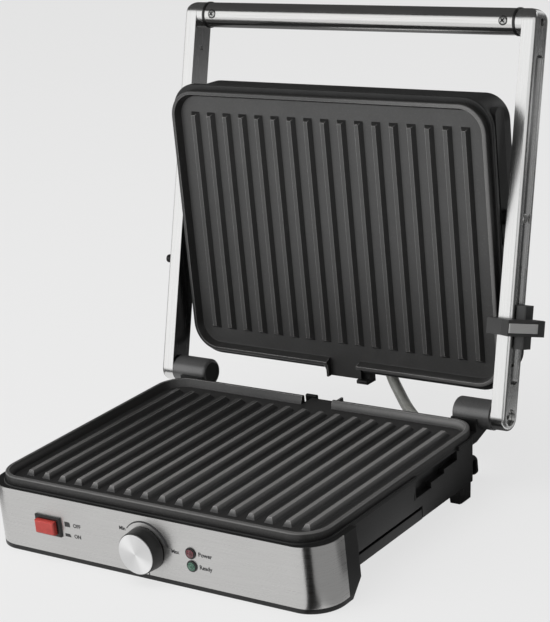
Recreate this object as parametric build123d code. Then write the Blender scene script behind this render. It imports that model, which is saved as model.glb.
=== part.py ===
from build123d import *
import os
from math import atan, atan2, cos, degrees, radians, sin, tan

# Panini press: a ribbed base plate, and a ribbed head hung between two arms that hinge at the back.
# Modelled with x = 0 on the middle plane, y = 0 on the middle of the base plate, z = 0 on the table.

# Cooking plates, two alike, measured in mm as everything here
PLATE_W = 297.0
PLATE_D = 223.0
PLATE_R = 22.5
PLATE_T = 3.0
RIM_H = 6.4
RIM_TOP = 3.0
RIM_FOOT = 5.5
RIM_ROUND = 1.2
SEAT = 4.5
RIB_PITCH = 16.0
RIB_BASE = 8.0
RIB_TOP = 3.4
RIB_H = 4.0
RIB_SIDE = 20.5
RIB_END = 18.5
SPOUT_W = 29.0
SPOUT_L = 10.0
SPOUT_T = 2.0
CHEEK_T = 1.8
CHEEK_H = 4.5
CHEEK_SWEEP = 5.0

# Heights of the base over the table
PLATE_Z = 51.5
FLOOR_Z = 20.0
COVER_T = 1.5

# Housing lip, walls and plate well
LIP_X = 1.5
LIP_Y = 2.0
LIP_T = 3.5
LIP_ROUND = 1.0
PLATE_GAP = 0.75
WALL = 2.7
WALL_INSET = 2.0
WALL_R = 8.0
REAR_INSET = 8.5
DRAFT = 4.0
COLUMN_R = 7.0
COLUMN_X = 7.8
COLUMN_Y = 60.0
STRIP_T = 2.5
STRIP_END = 25.0

# Front pod and its steel panel
POD_OVER = 5.0
POD_AHEAD = 3.0
POD_R = 24.0
POD_LENGTH = 45.5
POD_DROP = 1.0
POD_BOTTOM = 0.5
POD_WALL = 2.5
POD_TOP_T = 3.0
POD_SLOPE = 13.0
PANEL_T = 0.8
PANEL_FIT = 0.05
PANEL_BOTTOM = 4.0
PANEL_WRAP = 30.0
POD_COLUMN_X = 65.0
POD_COLUMN_R = 4.5
POD_COVER_Z = 3.0

# Feet
FOOT_R = 8.0
FOOT_IN = 37.0
FOOT_Y = 14.0
REAR_FOOT_W = 13.5
REAR_FOOT_L = 19.5
REAR_FOOT_IN = 15.75
REAR_FOOT_Z = 1.2
REAR_FOOT_TAPER = 5.0
SCOOP_R = 6.0

# Controls on the panel
KNOB_Z = 25.0
KNOB_R = 16.8
KNOB_FRONT_R = 15.9
KNOB_H = 10.2
KNOB_GAP = 0.7
CAP_R = 15.4
CAP_T = 1.5
SHAFT_R = 3.0
SHAFT_IN = 10.0
THERMOSTAT_R = 14.0
THERMOSTAT_L = 18.0
SWITCH_X = -92.5
SWITCH_Z = 27.0
BEZEL_W = 24.0
BEZEL_H = 15.4
BEZEL_T = 2.1
SLEEVE_W = 21.6
SLEEVE_H = 13.6
SLEEVE_T = 1.4
SLEEVE_L = 12.5
SWITCH_L = 16.0
BUTTON_OUT = 6.0
BUTTON_L = 14.5
BUTTON_TRAVEL = 3.0
LAMP_X = 42.0
LAMP_Z = (29.0, 19.0)
LENS_R = 3.3
LENS_OUT = 2.4
LENS_L = 12.0
LAMP_RING_R = 4.4
LAMP_RING_T = 1.1
LAMP_HOLDER_R = 4.6

# Heater under each plate, measured from the cooking surface
ELEMENT_R = 3.25
ELEMENT_IN = (36.5, 39.5)
ELEMENT_GAP = 36.0
ELEMENT_BEND = 18.0
ELEMENT_DROP = 20.0
HEAT_GAP = 0.15
SHIELD_T = 0.5
SHIELD_RIM = 15.0
SHIELD_DEPTH = 8.0
SHIELD_R = 14.0
CLIP = 9.0
FUSE_R = 3.0
FUSE_L = 26.0
SCREW_R = 1.4
SCREW_HEAD_R = 3.2
SCREW_HEAD_T = 1.6
SCREW_L = 10.0

# Hinge
HINGE_BACK = 14.0
HINGE_UP = 6.0
BARREL_R = 11.5
BARREL_L = 32.6
BARREL_ROUND = 2.5
HINGE_PIN_R = 5.0
BRACKET_W = 22.0
BRACKET_DROP = 17.5
END_CAP_R = 9.0
END_CAP_T = 2.6
HINGE_SCREW_R = 6.0
HINGE_SCREW_T = 2.4

# Arms and handle, in a frame with its origin on the hinge and its Z along the arm
ARM_OVER = 147.0
ARM_LEAN = 16.9
ARM_GAP = 4.1
ARM_T = 11.6
TUBE_R = 10.3
ARM_OVER_TUBE = 0.2
ARM_FRONT = TUBE_R + ARM_OVER_TUBE
ARM_REAR = TUBE_R + ARM_OVER_TUBE
ARM_FOOT = TUBE_R + ARM_OVER_TUBE
ARM_HEAD = TUBE_R + ARM_OVER_TUBE
ARM_ROUND = 2.5
ELBOW_R = 8.0
ELBOW_FLAT = 0.4
CHANNEL_W = 11.0
CHANNEL_DEPTH = 2.0
CHANNEL_END = 24.0
TUBE_T = 1.2
STUB_L = 6.2
COLLAR_R = TUBE_R + 0.6
COLLAR_L = 2.0
SPIGOT_L = 18.0
HANDLE_SCREW_IN = 8.0
HANDLE_SCREW_R = 2.6
RECESS_R = 3.0
RECESS_L = 5.0
INNER_HOLE_IN = 28.0
PIVOT_OVER = 23.5
PIVOT_R = 3.0
PIVOT_HEAD_R = 3.7
PIVOT_HEAD_T = 1.5
STUD_AT = 92.0
STUD_R = 3.4
STUD_OUT = 5.0

# Head, in a frame with its origin on the pivot pins and its plate facing down
HEAD_LEAN = 1.08
HEAD_PLATE_Y = 20.4
HEAD_FLOOR = -17.0
HEAD_LIP = (1.0, 2.25)
HEAD_H = 38.0
HEAD_INSET = (4.0, 3.0)
HEAD_DRAFT = 2.0
HEAD_ROUND = 3.0
HEAD_TOP_T = 3.0
HEAD_COVER_MARGIN = 30.0
HEAD_COVER_T = 0.6
BOSS_R = 6.0
BOSS_GAP = 0.6
SIDE_PAD = (-85.0, 22.0)
SIDE_PAD_W = 13.0

# Height slider on the right arm and the stepped pockets it works over
SLIDER_AT = 69.5
SLIDER_RANGE = (57.0, 97.0)
SLIDER_L = 33.0
SLIDER_W = 12.4
SLIDER_OUT = 9.0
SLIDER_BAR = 12.2
SLIDER_END = 21.0
SLIDER_TIP = 1.0
SLIDER_TIP_D = 7.7
SLIDER_BAR_D = 13.2
SLIDER_TIP_L = 12.4
SLIDER_NOSE = 4.8
SLOT_W = 5.4
SLOT_DEPTH = 7.0
TRIM = (25.0, 7.2, 0.6)
POCKETS = ((17.0, 38.0, 18.0), (38.0, 57.0, 14.0), (57.0, 76.0, 11.0))
POCKET_DEPTH = 7.6
POCKET_SKIN = 1.2

# Plate latch, drip tray, gland and lead
LATCH_X = 16.0
LATCH_W = 10.0
LATCH_T = 3.5
LATCH_UP = 2.0
GUIDE_T = 1.5
TRAY_IN = 18.0
TRAY_BACK = 19.5
TRAY_L = 113.0
TRAY_LOW = 3.0
TRAY_T = 1.6
TRAY_GRIP_T = 2.5
TRAY_FLANGE = 4.0
RAIL_T = 1.1
GLAND_X = -85.0
GLAND_Z = 32.0
GLAND_R = 9.0
GLAND_BORE = 4.0
GROMMET_R = 7.5
GROMMET_T = 2.0
LEAD_R = 4.5
LEAD_BASE = (88.0, 33.0)
LEAD_HEAD = (32.0, -1.6)

# Clearances
SLIDE_FIT = 0.3
RUN_FIT = 0.05
PRESS_FIT = 0.02

# Places that follow from the sizes above
SPLIT_Z = FLOOR_Z + 4.0
SKIRT_Z = FLOOR_Z - 6.0
LIP_W = PLATE_W + 2 * LIP_X
LIP_D = PLATE_D + 2 * LIP_Y
LIP_R = PLATE_R + 1.5
LIP_BASE = PLATE_Z - LIP_T
WELL = (PLATE_W - 2 * (SEAT - PLATE_GAP), PLATE_D - 2 * (SEAT - PLATE_GAP), PLATE_R - SEAT + PLATE_GAP)
WALL_X = LIP_W / 2 - WALL_INSET
WALL_REAR = LIP_D / 2 - REAR_INSET
WALL_FRONT = -LIP_D / 2 + 2 * LIP_T
POD_X = LIP_W / 2 + POD_OVER
POD_FRONT = -LIP_D / 2 - POD_AHEAD
POD_REAR = POD_FRONT + POD_LENGTH
POD_TOP = PLATE_Z - POD_DROP
POD_INNER = POD_FRONT + PANEL_T + PANEL_FIT + POD_WALL
FOOT_X = POD_X - FOOT_IN
REAR_FOOT_Y = WALL_REAR - REAR_FOOT_IN
COLUMN = WALL_X - WALL - COLUMN_X
ELEMENT_X = PLATE_W / 2 - ELEMENT_IN[0]
ELEMENT_Y = PLATE_D / 2 - ELEMENT_IN[1]
ELEMENT_Z = -PLATE_T - HEAT_GAP - ELEMENT_R
SHIELD_TOP = ELEMENT_Z - 0.3
ARM_IN = LIP_W / 2 + ARM_GAP
ARM_OUT = ARM_IN + ARM_T
ARM_MID = (ARM_REAR - ARM_FRONT) / 2
STUB_IN = ARM_IN - STUB_L
SPIGOT_R = TUBE_R - TUBE_T - RUN_FIT
BARREL_OUT = ARM_IN - 1.5
BARREL_IN = BARREL_OUT - BARREL_L
BRACKET = (BARREL_IN + 1.0, BARREL_IN + 1.0 + BRACKET_W)
HINGE_Y = LIP_D / 2 + HINGE_BACK
HINGE_Z = PLATE_Z + HINGE_UP
PIVOT_AT = HINGE_Y + PIVOT_OVER
ARM_LENGTH = PIVOT_AT + ARM_OVER
INNER_HOLE_AT = ARM_LENGTH - INNER_HOLE_IN
HEAD_LIP_W = LIP_W + 2 * HEAD_LIP[0]
HEAD_LIP_D = LIP_D + 2 * HEAD_LIP[1]
HEAD_REAR = HEAD_PLATE_Y + HEAD_LIP_D / 2 - HEAD_INSET[1]
TRAY_X = WALL_X - TRAY_IN
TRAY_REAR = LIP_D / 2 + TRAY_BACK
TRAY_FRONT = TRAY_REAR - TRAY_L
TRAY_Z = (TRAY_LOW, FLOOR_Z - 1.2)
ELEMENT_CLEAR = ELEMENT_R + RUN_FIT
RIB_COUNT = int((PLATE_W - 2 * RIB_SIDE) / RIB_PITCH + 0.01) + 1

LID = Pos(0, HINGE_Y, HINGE_Z) * Rot(-ARM_LEAN, 0, 0)
PIVOT = LID * Pos(0, ARM_MID, PIVOT_AT)
HEAD = Pos(*PIVOT.position) * Rot(-90 - HEAD_LEAN, 0, 0)
UNDER_HEAD = HEAD * Pos(0, HEAD_PLATE_Y, HEAD_FLOOR) * Rot(0, 180, 0)
ON_BASE = Pos(0, 0, PLATE_Z)


# Plain shapes

def span_box(x, y, z):
    middle = [(low + high) / 2 for low, high in (x, y, z)]
    return Pos(*middle) * Box(*[high - low for low, high in (x, y, z)])


def slab(outline, low, high):
    return Pos(0, 0, low) * extrude(outline, high - low)


def rod_x(x0, x1, y, z, radius):
    return Pos((x0 + x1) / 2, y, z) * Rot(0, 90, 0) * Cylinder(radius, abs(x1 - x0))


def rod_y(y0, y1, x, z, radius):
    return Pos(x, (y0 + y1) / 2, z) * Rot(90, 0, 0) * Cylinder(radius, abs(y1 - y0))


def rod_z(z0, z1, x, y, radius):
    return Pos(x, y, (z0 + z1) / 2) * Cylinder(radius, abs(z1 - z0))


def side_profile(points, x0, x1):
    face = make_face(Polyline(*points, close=True))
    return extrude(Plane.YZ.offset(x0) * face, x1 - x0)


def other_side(shape):
    return mirror(shape, about=Plane.YZ)


def pair(shape):
    return [shape, other_side(shape)]


def corners(x, y):
    return [(sx * x, sy * y) for sx in (-1, 1) for sy in (-1, 1)]


# Cooking plate: a die-cast tray with a raised rim, straight ribs and a drain spout at the back
def cooking_plate():
    rim = extrude(RectangleRounded(PLATE_W, PLATE_D, PLATE_R), RIM_H)
    rim = fillet(rim.edges().group_by(Axis.Z)[-1], RIM_ROUND)
    pan = RectangleRounded(PLATE_W - 2 * SEAT, PLATE_D - 2 * SEAT, PLATE_R - SEAT)
    mouth = RectangleRounded(PLATE_W - 2 * RIM_TOP, PLATE_D - 2 * RIM_TOP, PLATE_R - RIM_TOP)
    slope = degrees(atan((RIM_FOOT - RIM_TOP) / RIM_H))
    hollow = extrude(Pos(0, 0, RIM_H) * mouth, RIM_H, dir=(0, 0, -1), taper=slope)
    plate = rim + slab(pan, -PLATE_T, 0) - hollow
    back = PLATE_D / 2
    plate -= span_box((-SPOUT_W / 2, SPOUT_W / 2), (back - RIM_FOOT - 1, back + 1), (0, RIM_H + 1))
    edge = SPOUT_W / 2
    plate += span_box((-edge, edge), (back - SEAT, back + SPOUT_L), (-SPOUT_T, 0))
    plate += span_box((-edge - CHEEK_T, edge + CHEEK_T), (back - 2 * SEAT, back), (-SPOUT_T, 0))
    cheek = Pos(edge + CHEEK_T / 2, back + SPOUT_L / 2 - 1) * Rectangle(CHEEK_T, SPOUT_L + 2)
    sweep_x, sweep_y = edge + CHEEK_T + CHEEK_SWEEP, back + CHEEK_SWEEP
    corner = Pos(sweep_x - CHEEK_SWEEP / 2, sweep_y - CHEEK_SWEEP / 2 - 1) * Rectangle(CHEEK_SWEEP, CHEEK_SWEEP + 2)
    cheek += corner - Pos(sweep_x, sweep_y) * Circle(CHEEK_SWEEP)
    plate += slab(cheek, -SPOUT_T, CHEEK_H)
    lean = degrees(atan((RIB_BASE - RIB_TOP) / 2 / RIB_H))
    rib = extrude(Rectangle(RIB_BASE, PLATE_D - 2 * RIB_END), RIB_H, taper=lean)
    first = -RIB_PITCH * (RIB_COUNT - 1) / 2
    return plate + [Pos(first + i * RIB_PITCH, 0, 0) * rib for i in range(RIB_COUNT)]


# Heater parts, with the cooking surface at z = 0 and facing up
SHIELD_W = 2 * (COLUMN + 1.0)
SHIELD_D = 2 * (WALL_REAR - WALL - 1.3)
PAN_W = SHIELD_W - 2 * SHIELD_RIM
PAN_D = SHIELD_D - 2 * SHIELD_RIM
PAN_FLOOR = SHIELD_TOP - SHIELD_DEPTH


def heat_shield():
    flange = slab(RectangleRounded(SHIELD_W, SHIELD_D, SHIELD_R), SHIELD_TOP - SHIELD_T, SHIELD_TOP)
    outside = RectangleRounded(PAN_W + 2 * SHIELD_T, PAN_D + 2 * SHIELD_T, SHIELD_R + SHIELD_T)
    shield = flange + slab(outside, PAN_FLOOR - SHIELD_T, SHIELD_TOP)
    shield -= slab(RectangleRounded(PAN_W, PAN_D, SHIELD_R), PAN_FLOOR, SHIELD_TOP + 1)
    for sx in (-1, 1):
        shield -= rod_z(PAN_FLOOR - 2, PAN_FLOOR + 1, sx * ELEMENT_GAP / 2, -ELEMENT_Y, ELEMENT_R + 1.5)
    for x, y in corners(COLUMN, COLUMN_Y):
        shield -= rod_z(SHIELD_TOP - 2, SHIELD_TOP + 1, x, y, SCREW_R + RUN_FIT)
    return shield


def heating_element():
    end = ELEMENT_GAP / 2
    route = [(-end, -ELEMENT_Y, ELEMENT_Z - ELEMENT_DROP), (-end, -ELEMENT_Y, ELEMENT_Z)]
    route += [(-ELEMENT_X, -ELEMENT_Y, ELEMENT_Z), (-ELEMENT_X, ELEMENT_Y, ELEMENT_Z)]
    route += [(-x, y, z) for x, y, z in reversed(route)]
    bends = [ELEMENT_R * 2] + [ELEMENT_BEND] * 4 + [ELEMENT_R * 2]
    path = FilletPolyline(*route, radius=bends)
    return sweep(Plane(path @ 0, z_dir=path % 0) * Circle(ELEMENT_R), path=path)


def element_clips():
    half = CLIP / 2
    post = (PAN_FLOOR, ELEMENT_Z - 1.0)
    clips = []
    for sx in (-1, 1):
        x = sx * ELEMENT_X
        clip = span_box((x - half, x + half), (-half, half), post)
        clips.append(clip - rod_y(-CLIP, CLIP, x, ELEMENT_Z, ELEMENT_CLEAR))
        x = sx * ELEMENT_X / 2
        clip = span_box((x - half, x + half), (ELEMENT_Y - half, ELEMENT_Y + half), post)
        clips.append(clip - rod_x(x - CLIP, x + CLIP, ELEMENT_Y, ELEMENT_Z, ELEMENT_CLEAR))
    return clips


def screw(x, y, seat, up):
    head = rod_z(seat, seat + up * SCREW_HEAD_T, x, y, SCREW_HEAD_R)
    return head + rod_z(seat, seat - up * SCREW_L, x, y, SCREW_R)


def screw_hole(x, y, seat, up):
    return rod_z(seat + up, seat - up * (SCREW_L + 1.0), x, y, SCREW_R + RUN_FIT)


# Latch that holds a plate's back edge, under its spout, with the cooking surface at z = 0
LATCH_SPAN = (-LATCH_X - LATCH_W / 2, -LATCH_X + LATCH_W / 2)
LATCH_Z = (-LIP_T - 7.5, -LIP_T - SLIDE_FIT)


def plate_latch():
    tip = PLATE_D / 2 + SPOUT_L + SLIDE_FIT
    latch = span_box(LATCH_SPAN, (WALL_REAR + 1.0, tip + LATCH_T), LATCH_Z)
    latch += span_box(LATCH_SPAN, (tip, tip + LATCH_T), (LATCH_Z[0], LATCH_UP))
    ends = latch.edges().filter_by(Axis.X)
    return fillet(ends.group_by(Axis.Z)[-1] + ends.sort_by(Axis.Y)[-2:-1], 1.2)


def latch_guide(rear):
    sides = (LATCH_SPAN[0] - SLIDE_FIT - GUIDE_T, LATCH_SPAN[1] + SLIDE_FIT + GUIDE_T)
    return span_box(sides, (WALL_REAR - WALL, rear - 1.5), (LATCH_Z[0] - SLIDE_FIT - GUIDE_T, -LIP_T + 0.5))


def latch_way(rear):
    sides = (LATCH_SPAN[0] - SLIDE_FIT, LATCH_SPAN[1] + SLIDE_FIT)
    return span_box(sides, (WALL_REAR + 0.5, rear), (LATCH_Z[0] - SLIDE_FIT, -LIP_T))


def spout_notch(rear):
    left = -SPOUT_W / 2 - CHEEK_T - PLATE_GAP
    right = SPOUT_W / 2 + CHEEK_T + CHEEK_SWEEP + PLATE_GAP
    return span_box((left, right), (PLATE_D / 2 - 2 * SEAT, rear + 1), (-SPOUT_T - PLATE_GAP / 2, 1))


# Base housing: a moulded shell with a lip for the plate, a deep front pod and rear feet
def pod_outline(inset, rear):
    front = POD_FRONT + inset
    outline = Pos(0, (front + rear) / 2) * Rectangle(2 * (POD_X - inset), rear - front)
    return fillet(outline.vertices().group_by(Axis.Y)[0], POD_R - inset)


def pod_wedge(inset):
    run = POD_SLOPE + inset
    points = [(POD_REAR + 1, POD_BOTTOM - 1), (POD_REAR + 1, POD_BOTTOM + run), (POD_REAR - run, POD_BOTTOM - 1)]
    return side_profile(points, -POD_X - 1, POD_X + 1)


def wall_outline(inset):
    depth = WALL_REAR - WALL_FRONT - 2 * inset
    middle = Pos(0, (WALL_REAR + WALL_FRONT) / 2)
    return middle * RectangleRounded(2 * (WALL_X - inset), depth, WALL_R - inset)


def tapered_down(outline, top, bottom, taper):
    return extrude(Pos(0, 0, top) * outline, top - bottom, dir=(0, 0, -1), taper=taper)


def rear_foot():
    x = WALL_X - WALL_INSET - REAR_FOOT_W / 2
    outline = Pos(x, REAR_FOOT_Y) * RectangleRounded(REAR_FOOT_W, REAR_FOOT_L, 3.0)
    foot = tapered_down(outline, SPLIT_Z, REAR_FOOT_Z, REAR_FOOT_TAPER)
    scoop = rod_z(0, SKIRT_Z - 2, WALL_X + 1.0, REAR_FOOT_Y - 6.0, SCOOP_R)
    return foot - scoop


def hinge_bracket():
    low = HINGE_Z - BRACKET_DROP
    under = HINGE_Z - BARREL_R - 1.5
    points = [(WALL_REAR - WALL, low), (LIP_D / 2 - 0.5, low), (HINGE_Y + 2, under), (HINGE_Y + 5, under + 1)]
    points += [(HINGE_Y + 6, HINGE_Z), (LIP_D / 2, HINGE_Z)]
    points += [(LIP_D / 2, LIP_BASE), (WALL_REAR - WALL, LIP_BASE)]
    bracket = side_profile(points, *BRACKET)
    bracket -= rod_x(BRACKET[0] - 1, BRACKET[1] + 1, HINGE_Y, HINGE_Z, BARREL_R + RUN_FIT)
    return bracket - [housing_walls(), housing_lip()]


def stepped_pockets(skin):
    cuts = []
    back = LIP_W / 2 - POCKET_DEPTH - skin
    for low, high, drop in POCKETS:
        floor = PLATE_Z - drop - skin
        cuts.append(span_box((back, LIP_W / 2 + 1 - 3 * skin), (low - skin, high + skin), (floor, LIP_BASE)))
    return cuts


def housing_lip():
    lip = slab(RectangleRounded(LIP_W, LIP_D, LIP_R), LIP_BASE, PLATE_Z)
    return fillet(lip.edges().group_by(Axis.Z)[-1], LIP_ROUND)


def housing_walls():
    return tapered_down(wall_outline(0), LIP_BASE, SKIRT_Z, DRAFT)


def base_housing():
    under_panel = PANEL_T + PANEL_FIT
    pod = slab(pod_outline(under_panel, POD_REAR), POD_BOTTOM, POD_TOP)
    pod += slab(pod_outline(0, POD_REAR), POD_BOTTOM, PANEL_BOTTOM - PANEL_FIT)
    panel_end = POD_FRONT + PANEL_WRAP + PANEL_FIT
    pod += pair(span_box((POD_X - 5, POD_X), (panel_end, POD_REAR), (POD_BOTTOM, POD_TOP)))
    pod -= pod_wedge(0)
    room = tapered_down(wall_outline(WALL), LIP_BASE, 0, DRAFT)
    room -= span_box((-POD_X, POD_X), (2 * POD_FRONT, POD_REAR + POD_WALL), (-1, SPLIT_Z))
    pod_room = slab(pod_outline(under_panel + POD_WALL, POD_REAR - POD_WALL), 0, POD_TOP - POD_TOP_T)
    pod_room -= pod_wedge(POD_WALL * 1.5)
    well = slab(RectangleRounded(*WELL), LIP_BASE - 2, PLATE_Z + 1)

    housing = housing_lip() + housing_walls() + pod
    housing -= [room, pod_room, well]
    housing += pair(rear_foot())
    shelf = BRACKET[0] - SLIDE_FIT
    housing += span_box((-shelf, shelf), (WALL_REAR - WALL, LIP_D / 2 - 1.5), (LIP_BASE - LIP_T, LIP_BASE))
    blocks = [block & span_box((0, POD_X), (0, LIP_D), (0, LIP_BASE)) for block in stepped_pockets(POCKET_SKIN)]
    housing += blocks
    top = PLATE_Z + SHIELD_TOP - SHIELD_T
    for x, y in corners(COLUMN, COLUMN_Y):
        column = rod_z(FLOOR_Z + COVER_T, top, x, y, COLUMN_R)
        housing += column & span_box((-WALL_X + 1.5, WALL_X - 1.5), (-LIP_D, LIP_D), (0, PLATE_Z))
        housing -= [screw_hole(x, y, top, 1), screw_hole(x, y, FLOOR_Z + COVER_T, -1)]
    for x in (-POD_COLUMN_X, POD_COLUMN_X):
        y = POD_INNER + POD_COLUMN_R - 1
        housing += rod_z(POD_COVER_Z + COVER_T, POD_TOP - POD_TOP_T, x, y, POD_COLUMN_R)
        housing -= screw_hole(x, y, POD_COVER_Z + COVER_T, -1)
    housing += ON_BASE * latch_guide(LIP_D / 2)
    housing -= ON_BASE * latch_way(LIP_D / 2)
    for x, z, radius in ((GLAND_X, GLAND_Z, GLAND_R), (LEAD_BASE[0], LEAD_BASE[1], GROMMET_R)):
        housing += rod_y(WALL_REAR - WALL - 2, WALL_REAR, x, z, radius + 1)
        housing -= rod_y(WALL_REAR - 10, WALL_REAR + 1, x, z, radius - 2.5)

    housing -= stepped_pockets(0)
    for low, high, drop in POCKETS:
        lip_cut = (LIP_W / 2 - WALL_INSET - 0.4, LIP_W / 2 + 1)
        housing -= span_box(lip_cut, (low, high), (LIP_BASE - 1, PLATE_Z + 1))
    strip = (POD_REAR + POD_WALL, STRIP_END + 1)
    housing -= pair(span_box((WALL_X - 3 * WALL, WALL_X + 1), strip, (SKIRT_Z - 1, SPLIT_Z)))
    mouth = TRAY_X + SLIDE_FIT + RAIL_T
    housing -= span_box((-mouth, mouth), (WALL_REAR - 15, WALL_REAR + 5), (0, FLOOR_Z - 0.5))
    housing -= ON_BASE * spout_notch(LIP_D / 2)
    housing -= panel_holes(PANEL_FIT)
    return housing


# Front panel: one brushed sheet bent round the pod, with holes for the controls
def panel_holes(extra):
    y = (POD_FRONT - 1, POD_INNER + 1)
    width = SLEEVE_W / 2 + 0.2 + extra
    height = SLEEVE_H / 2 + 0.2 + extra
    holes = [rod_y(*y, 0, KNOB_Z, SHAFT_R + 1.5)]
    holes.append(span_box((SWITCH_X - width, SWITCH_X + width), y, (SWITCH_Z - height, SWITCH_Z + height)))
    return holes + [rod_y(*y, LAMP_X, z, LENS_R + 0.2 + extra) for z in LAMP_Z]


def front_panel():
    end = POD_FRONT + PANEL_WRAP
    sheet = slab(pod_outline(0, end), PANEL_BOTTOM, POD_TOP)
    sheet -= slab(pod_outline(PANEL_T, end + 1), PANEL_BOTTOM - 1, POD_TOP + 1)
    return sheet - panel_holes(0)


# Bottom covers: a flat one in the pod and a raised one with the tray's rails
def front_bottom_cover():
    inset = PANEL_T + PANEL_FIT + POD_WALL + SLIDE_FIT
    outline = pod_outline(inset, POD_REAR - POD_SLOPE - POD_WALL)
    cover = slab(outline, POD_COVER_Z, POD_COVER_Z + COVER_T)
    for x in (-POD_COLUMN_X, POD_COLUMN_X):
        cover -= rod_z(0, SKIRT_Z, x, POD_INNER + POD_COLUMN_R - 1, SCREW_R + RUN_FIT)
    return cover


def rear_bottom_cover():
    drawn_in = (LIP_BASE - FLOOR_Z) * tan(radians(DRAFT)) + SLIDE_FIT
    wide = WALL_X - WALL - drawn_in
    foot = WALL_X - WALL_INSET - REAR_FOOT_W - 1
    front = POD_REAR + POD_WALL + SLIDE_FIT
    neck = REAR_FOOT_Y - REAR_FOOT_L / 2 - 3
    level = (FLOOR_Z, FLOOR_Z + COVER_T)
    cover = span_box((-wide, wide), (front, neck), level)
    cover += span_box((-foot, foot), (front, WALL_REAR - WALL - drawn_in), level)
    cover = cover & tapered_down(wall_outline(WALL + SLIDE_FIT), LIP_BASE, 0, DRAFT)
    strip_x = WALL_X - WALL_INSET - STRIP_T
    strip = span_box((strip_x, strip_x + STRIP_T), (front, STRIP_END), (SKIRT_Z, FLOOR_Z + COVER_T))
    strip += span_box((wide - 1, strip_x + 1), (front, STRIP_END), level)
    web_x = TRAY_X + SLIDE_FIT
    ledge = TRAY_Z[1] - TRAY_T - SLIDE_FIT
    rail = span_box((web_x, web_x + RAIL_T), (TRAY_FRONT, WALL_REAR - 5), (ledge - 2, FLOOR_Z + 0.5))
    rail += span_box((web_x - TRAY_FLANGE + 1, web_x + RAIL_T), (TRAY_FRONT, WALL_REAR - 5), (ledge - 2, ledge))
    cover += pair(strip) + pair(rail)
    for x, y in corners(COLUMN, COLUMN_Y):
        cover -= rod_z(0, PLATE_Z, x, y, SCREW_R + RUN_FIT)
    return cover


def rubber_feet():
    y = POD_FRONT + FOOT_Y
    x = WALL_X - WALL_INSET - REAR_FOOT_W / 2
    drop = 2 * (SPLIT_Z - REAR_FOOT_Z) * tan(radians(REAR_FOOT_TAPER))
    pad = RectangleRounded(REAR_FOOT_W - drop - 1, REAR_FOOT_L - drop - 1, 2.0)
    front = rod_z(0, POD_COVER_Z, FOOT_X, y, FOOT_R)
    rear = slab(Pos(x - 1, REAR_FOOT_Y + 2) * pad, 0, REAR_FOOT_Z)
    return pair(front) + pair(rear)


def cover_screws():
    pod_y = POD_INNER + POD_COLUMN_R - 1
    screws = [screw(x, y, FLOOR_Z, -1) for x, y in corners(COLUMN, COLUMN_Y)]
    return screws + [screw(x, pod_y, POD_COVER_Z, -1) for x in (-POD_COLUMN_X, POD_COLUMN_X)]


def shield_screws():
    return [screw(x, y, SHIELD_TOP, 1) for x, y in corners(COLUMN, COLUMN_Y)]


def thermal_fuse():
    return Pos(0, -ELEMENT_Y / 2, PAN_FLOOR + FUSE_R) * Rot(0, 90, 0) * Cylinder(FUSE_R, FUSE_L)


# Hinge: a barrel on each bracket, a pin through it and a screw that keeps the arm on the pin
def hinge_barrel():
    barrel = rod_x(BARREL_IN, BARREL_OUT, HINGE_Y, HINGE_Z, BARREL_R)
    barrel = fillet(barrel.edges().group_by(Axis.X)[0], BARREL_ROUND)
    barrel -= rod_x(BARREL_IN - 1, BARREL_IN + END_CAP_T + 0.4, HINGE_Y, HINGE_Z, END_CAP_R)
    return barrel - rod_x(BARREL_IN, BARREL_OUT + 1, HINGE_Y, HINGE_Z, HINGE_PIN_R + PRESS_FIT)


def hinge_end_cap():
    cap = rod_x(BARREL_IN + 0.4, BARREL_IN + END_CAP_T + 0.4, HINGE_Y, HINGE_Z, END_CAP_R - PRESS_FIT)
    return fillet(cap.edges().group_by(Axis.X)[0], 0.6)


HINGE_PIN_END = ARM_OUT - HINGE_SCREW_T - 2.6


def hinge_pin():
    pin = rod_x(BARREL_IN + END_CAP_T + 0.4, HINGE_PIN_END, HINGE_Y, HINGE_Z, HINGE_PIN_R)
    return pin - rod_x(HINGE_PIN_END - SCREW_L, HINGE_PIN_END + 1, HINGE_Y, HINGE_Z, 2.0 + PRESS_FIT)


def hinge_screw():
    seat = HINGE_PIN_END + RUN_FIT
    head = rod_x(seat, seat + HINGE_SCREW_T, HINGE_Y, HINGE_Z, HINGE_SCREW_R)
    head = fillet(head.edges().group_by(Axis.X)[-1], 0.8)
    socket = Pos(seat + HINGE_SCREW_T, HINGE_Y, HINGE_Z) * Rot(0, 90, 0)
    head -= socket * extrude(RegularPolygon(2.0, 6), 3.0, both=True)
    return head + rod_x(seat - SCREW_L + 2, seat, HINGE_Y, HINGE_Z, 2.0)


# Switch: a bezel with a sleeve through the panel, a body behind it and a push button in it
def switch_block(width, height, y0, y1):
    x = (SWITCH_X - width / 2, SWITCH_X + width / 2)
    return span_box(x, (y0, y1), (SWITCH_Z - height / 2, SWITCH_Z + height / 2))


SLEEVE_END = POD_FRONT + SLEEVE_L
SLEEVE_BORE = (SLEEVE_W - 2 * SLEEVE_T, SLEEVE_H - 2 * SLEEVE_T)


def switch_bezel():
    frame = switch_block(BEZEL_W, BEZEL_H, POD_FRONT - BEZEL_T, POD_FRONT)
    frame = chamfer(frame.faces().sort_by(Axis.Y)[0].edges(), 0.7)
    frame += switch_block(SLEEVE_W, SLEEVE_H, POD_FRONT, SLEEVE_END)
    return frame - switch_block(*SLEEVE_BORE, POD_FRONT - BEZEL_T - 1, SLEEVE_END + 1)


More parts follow.
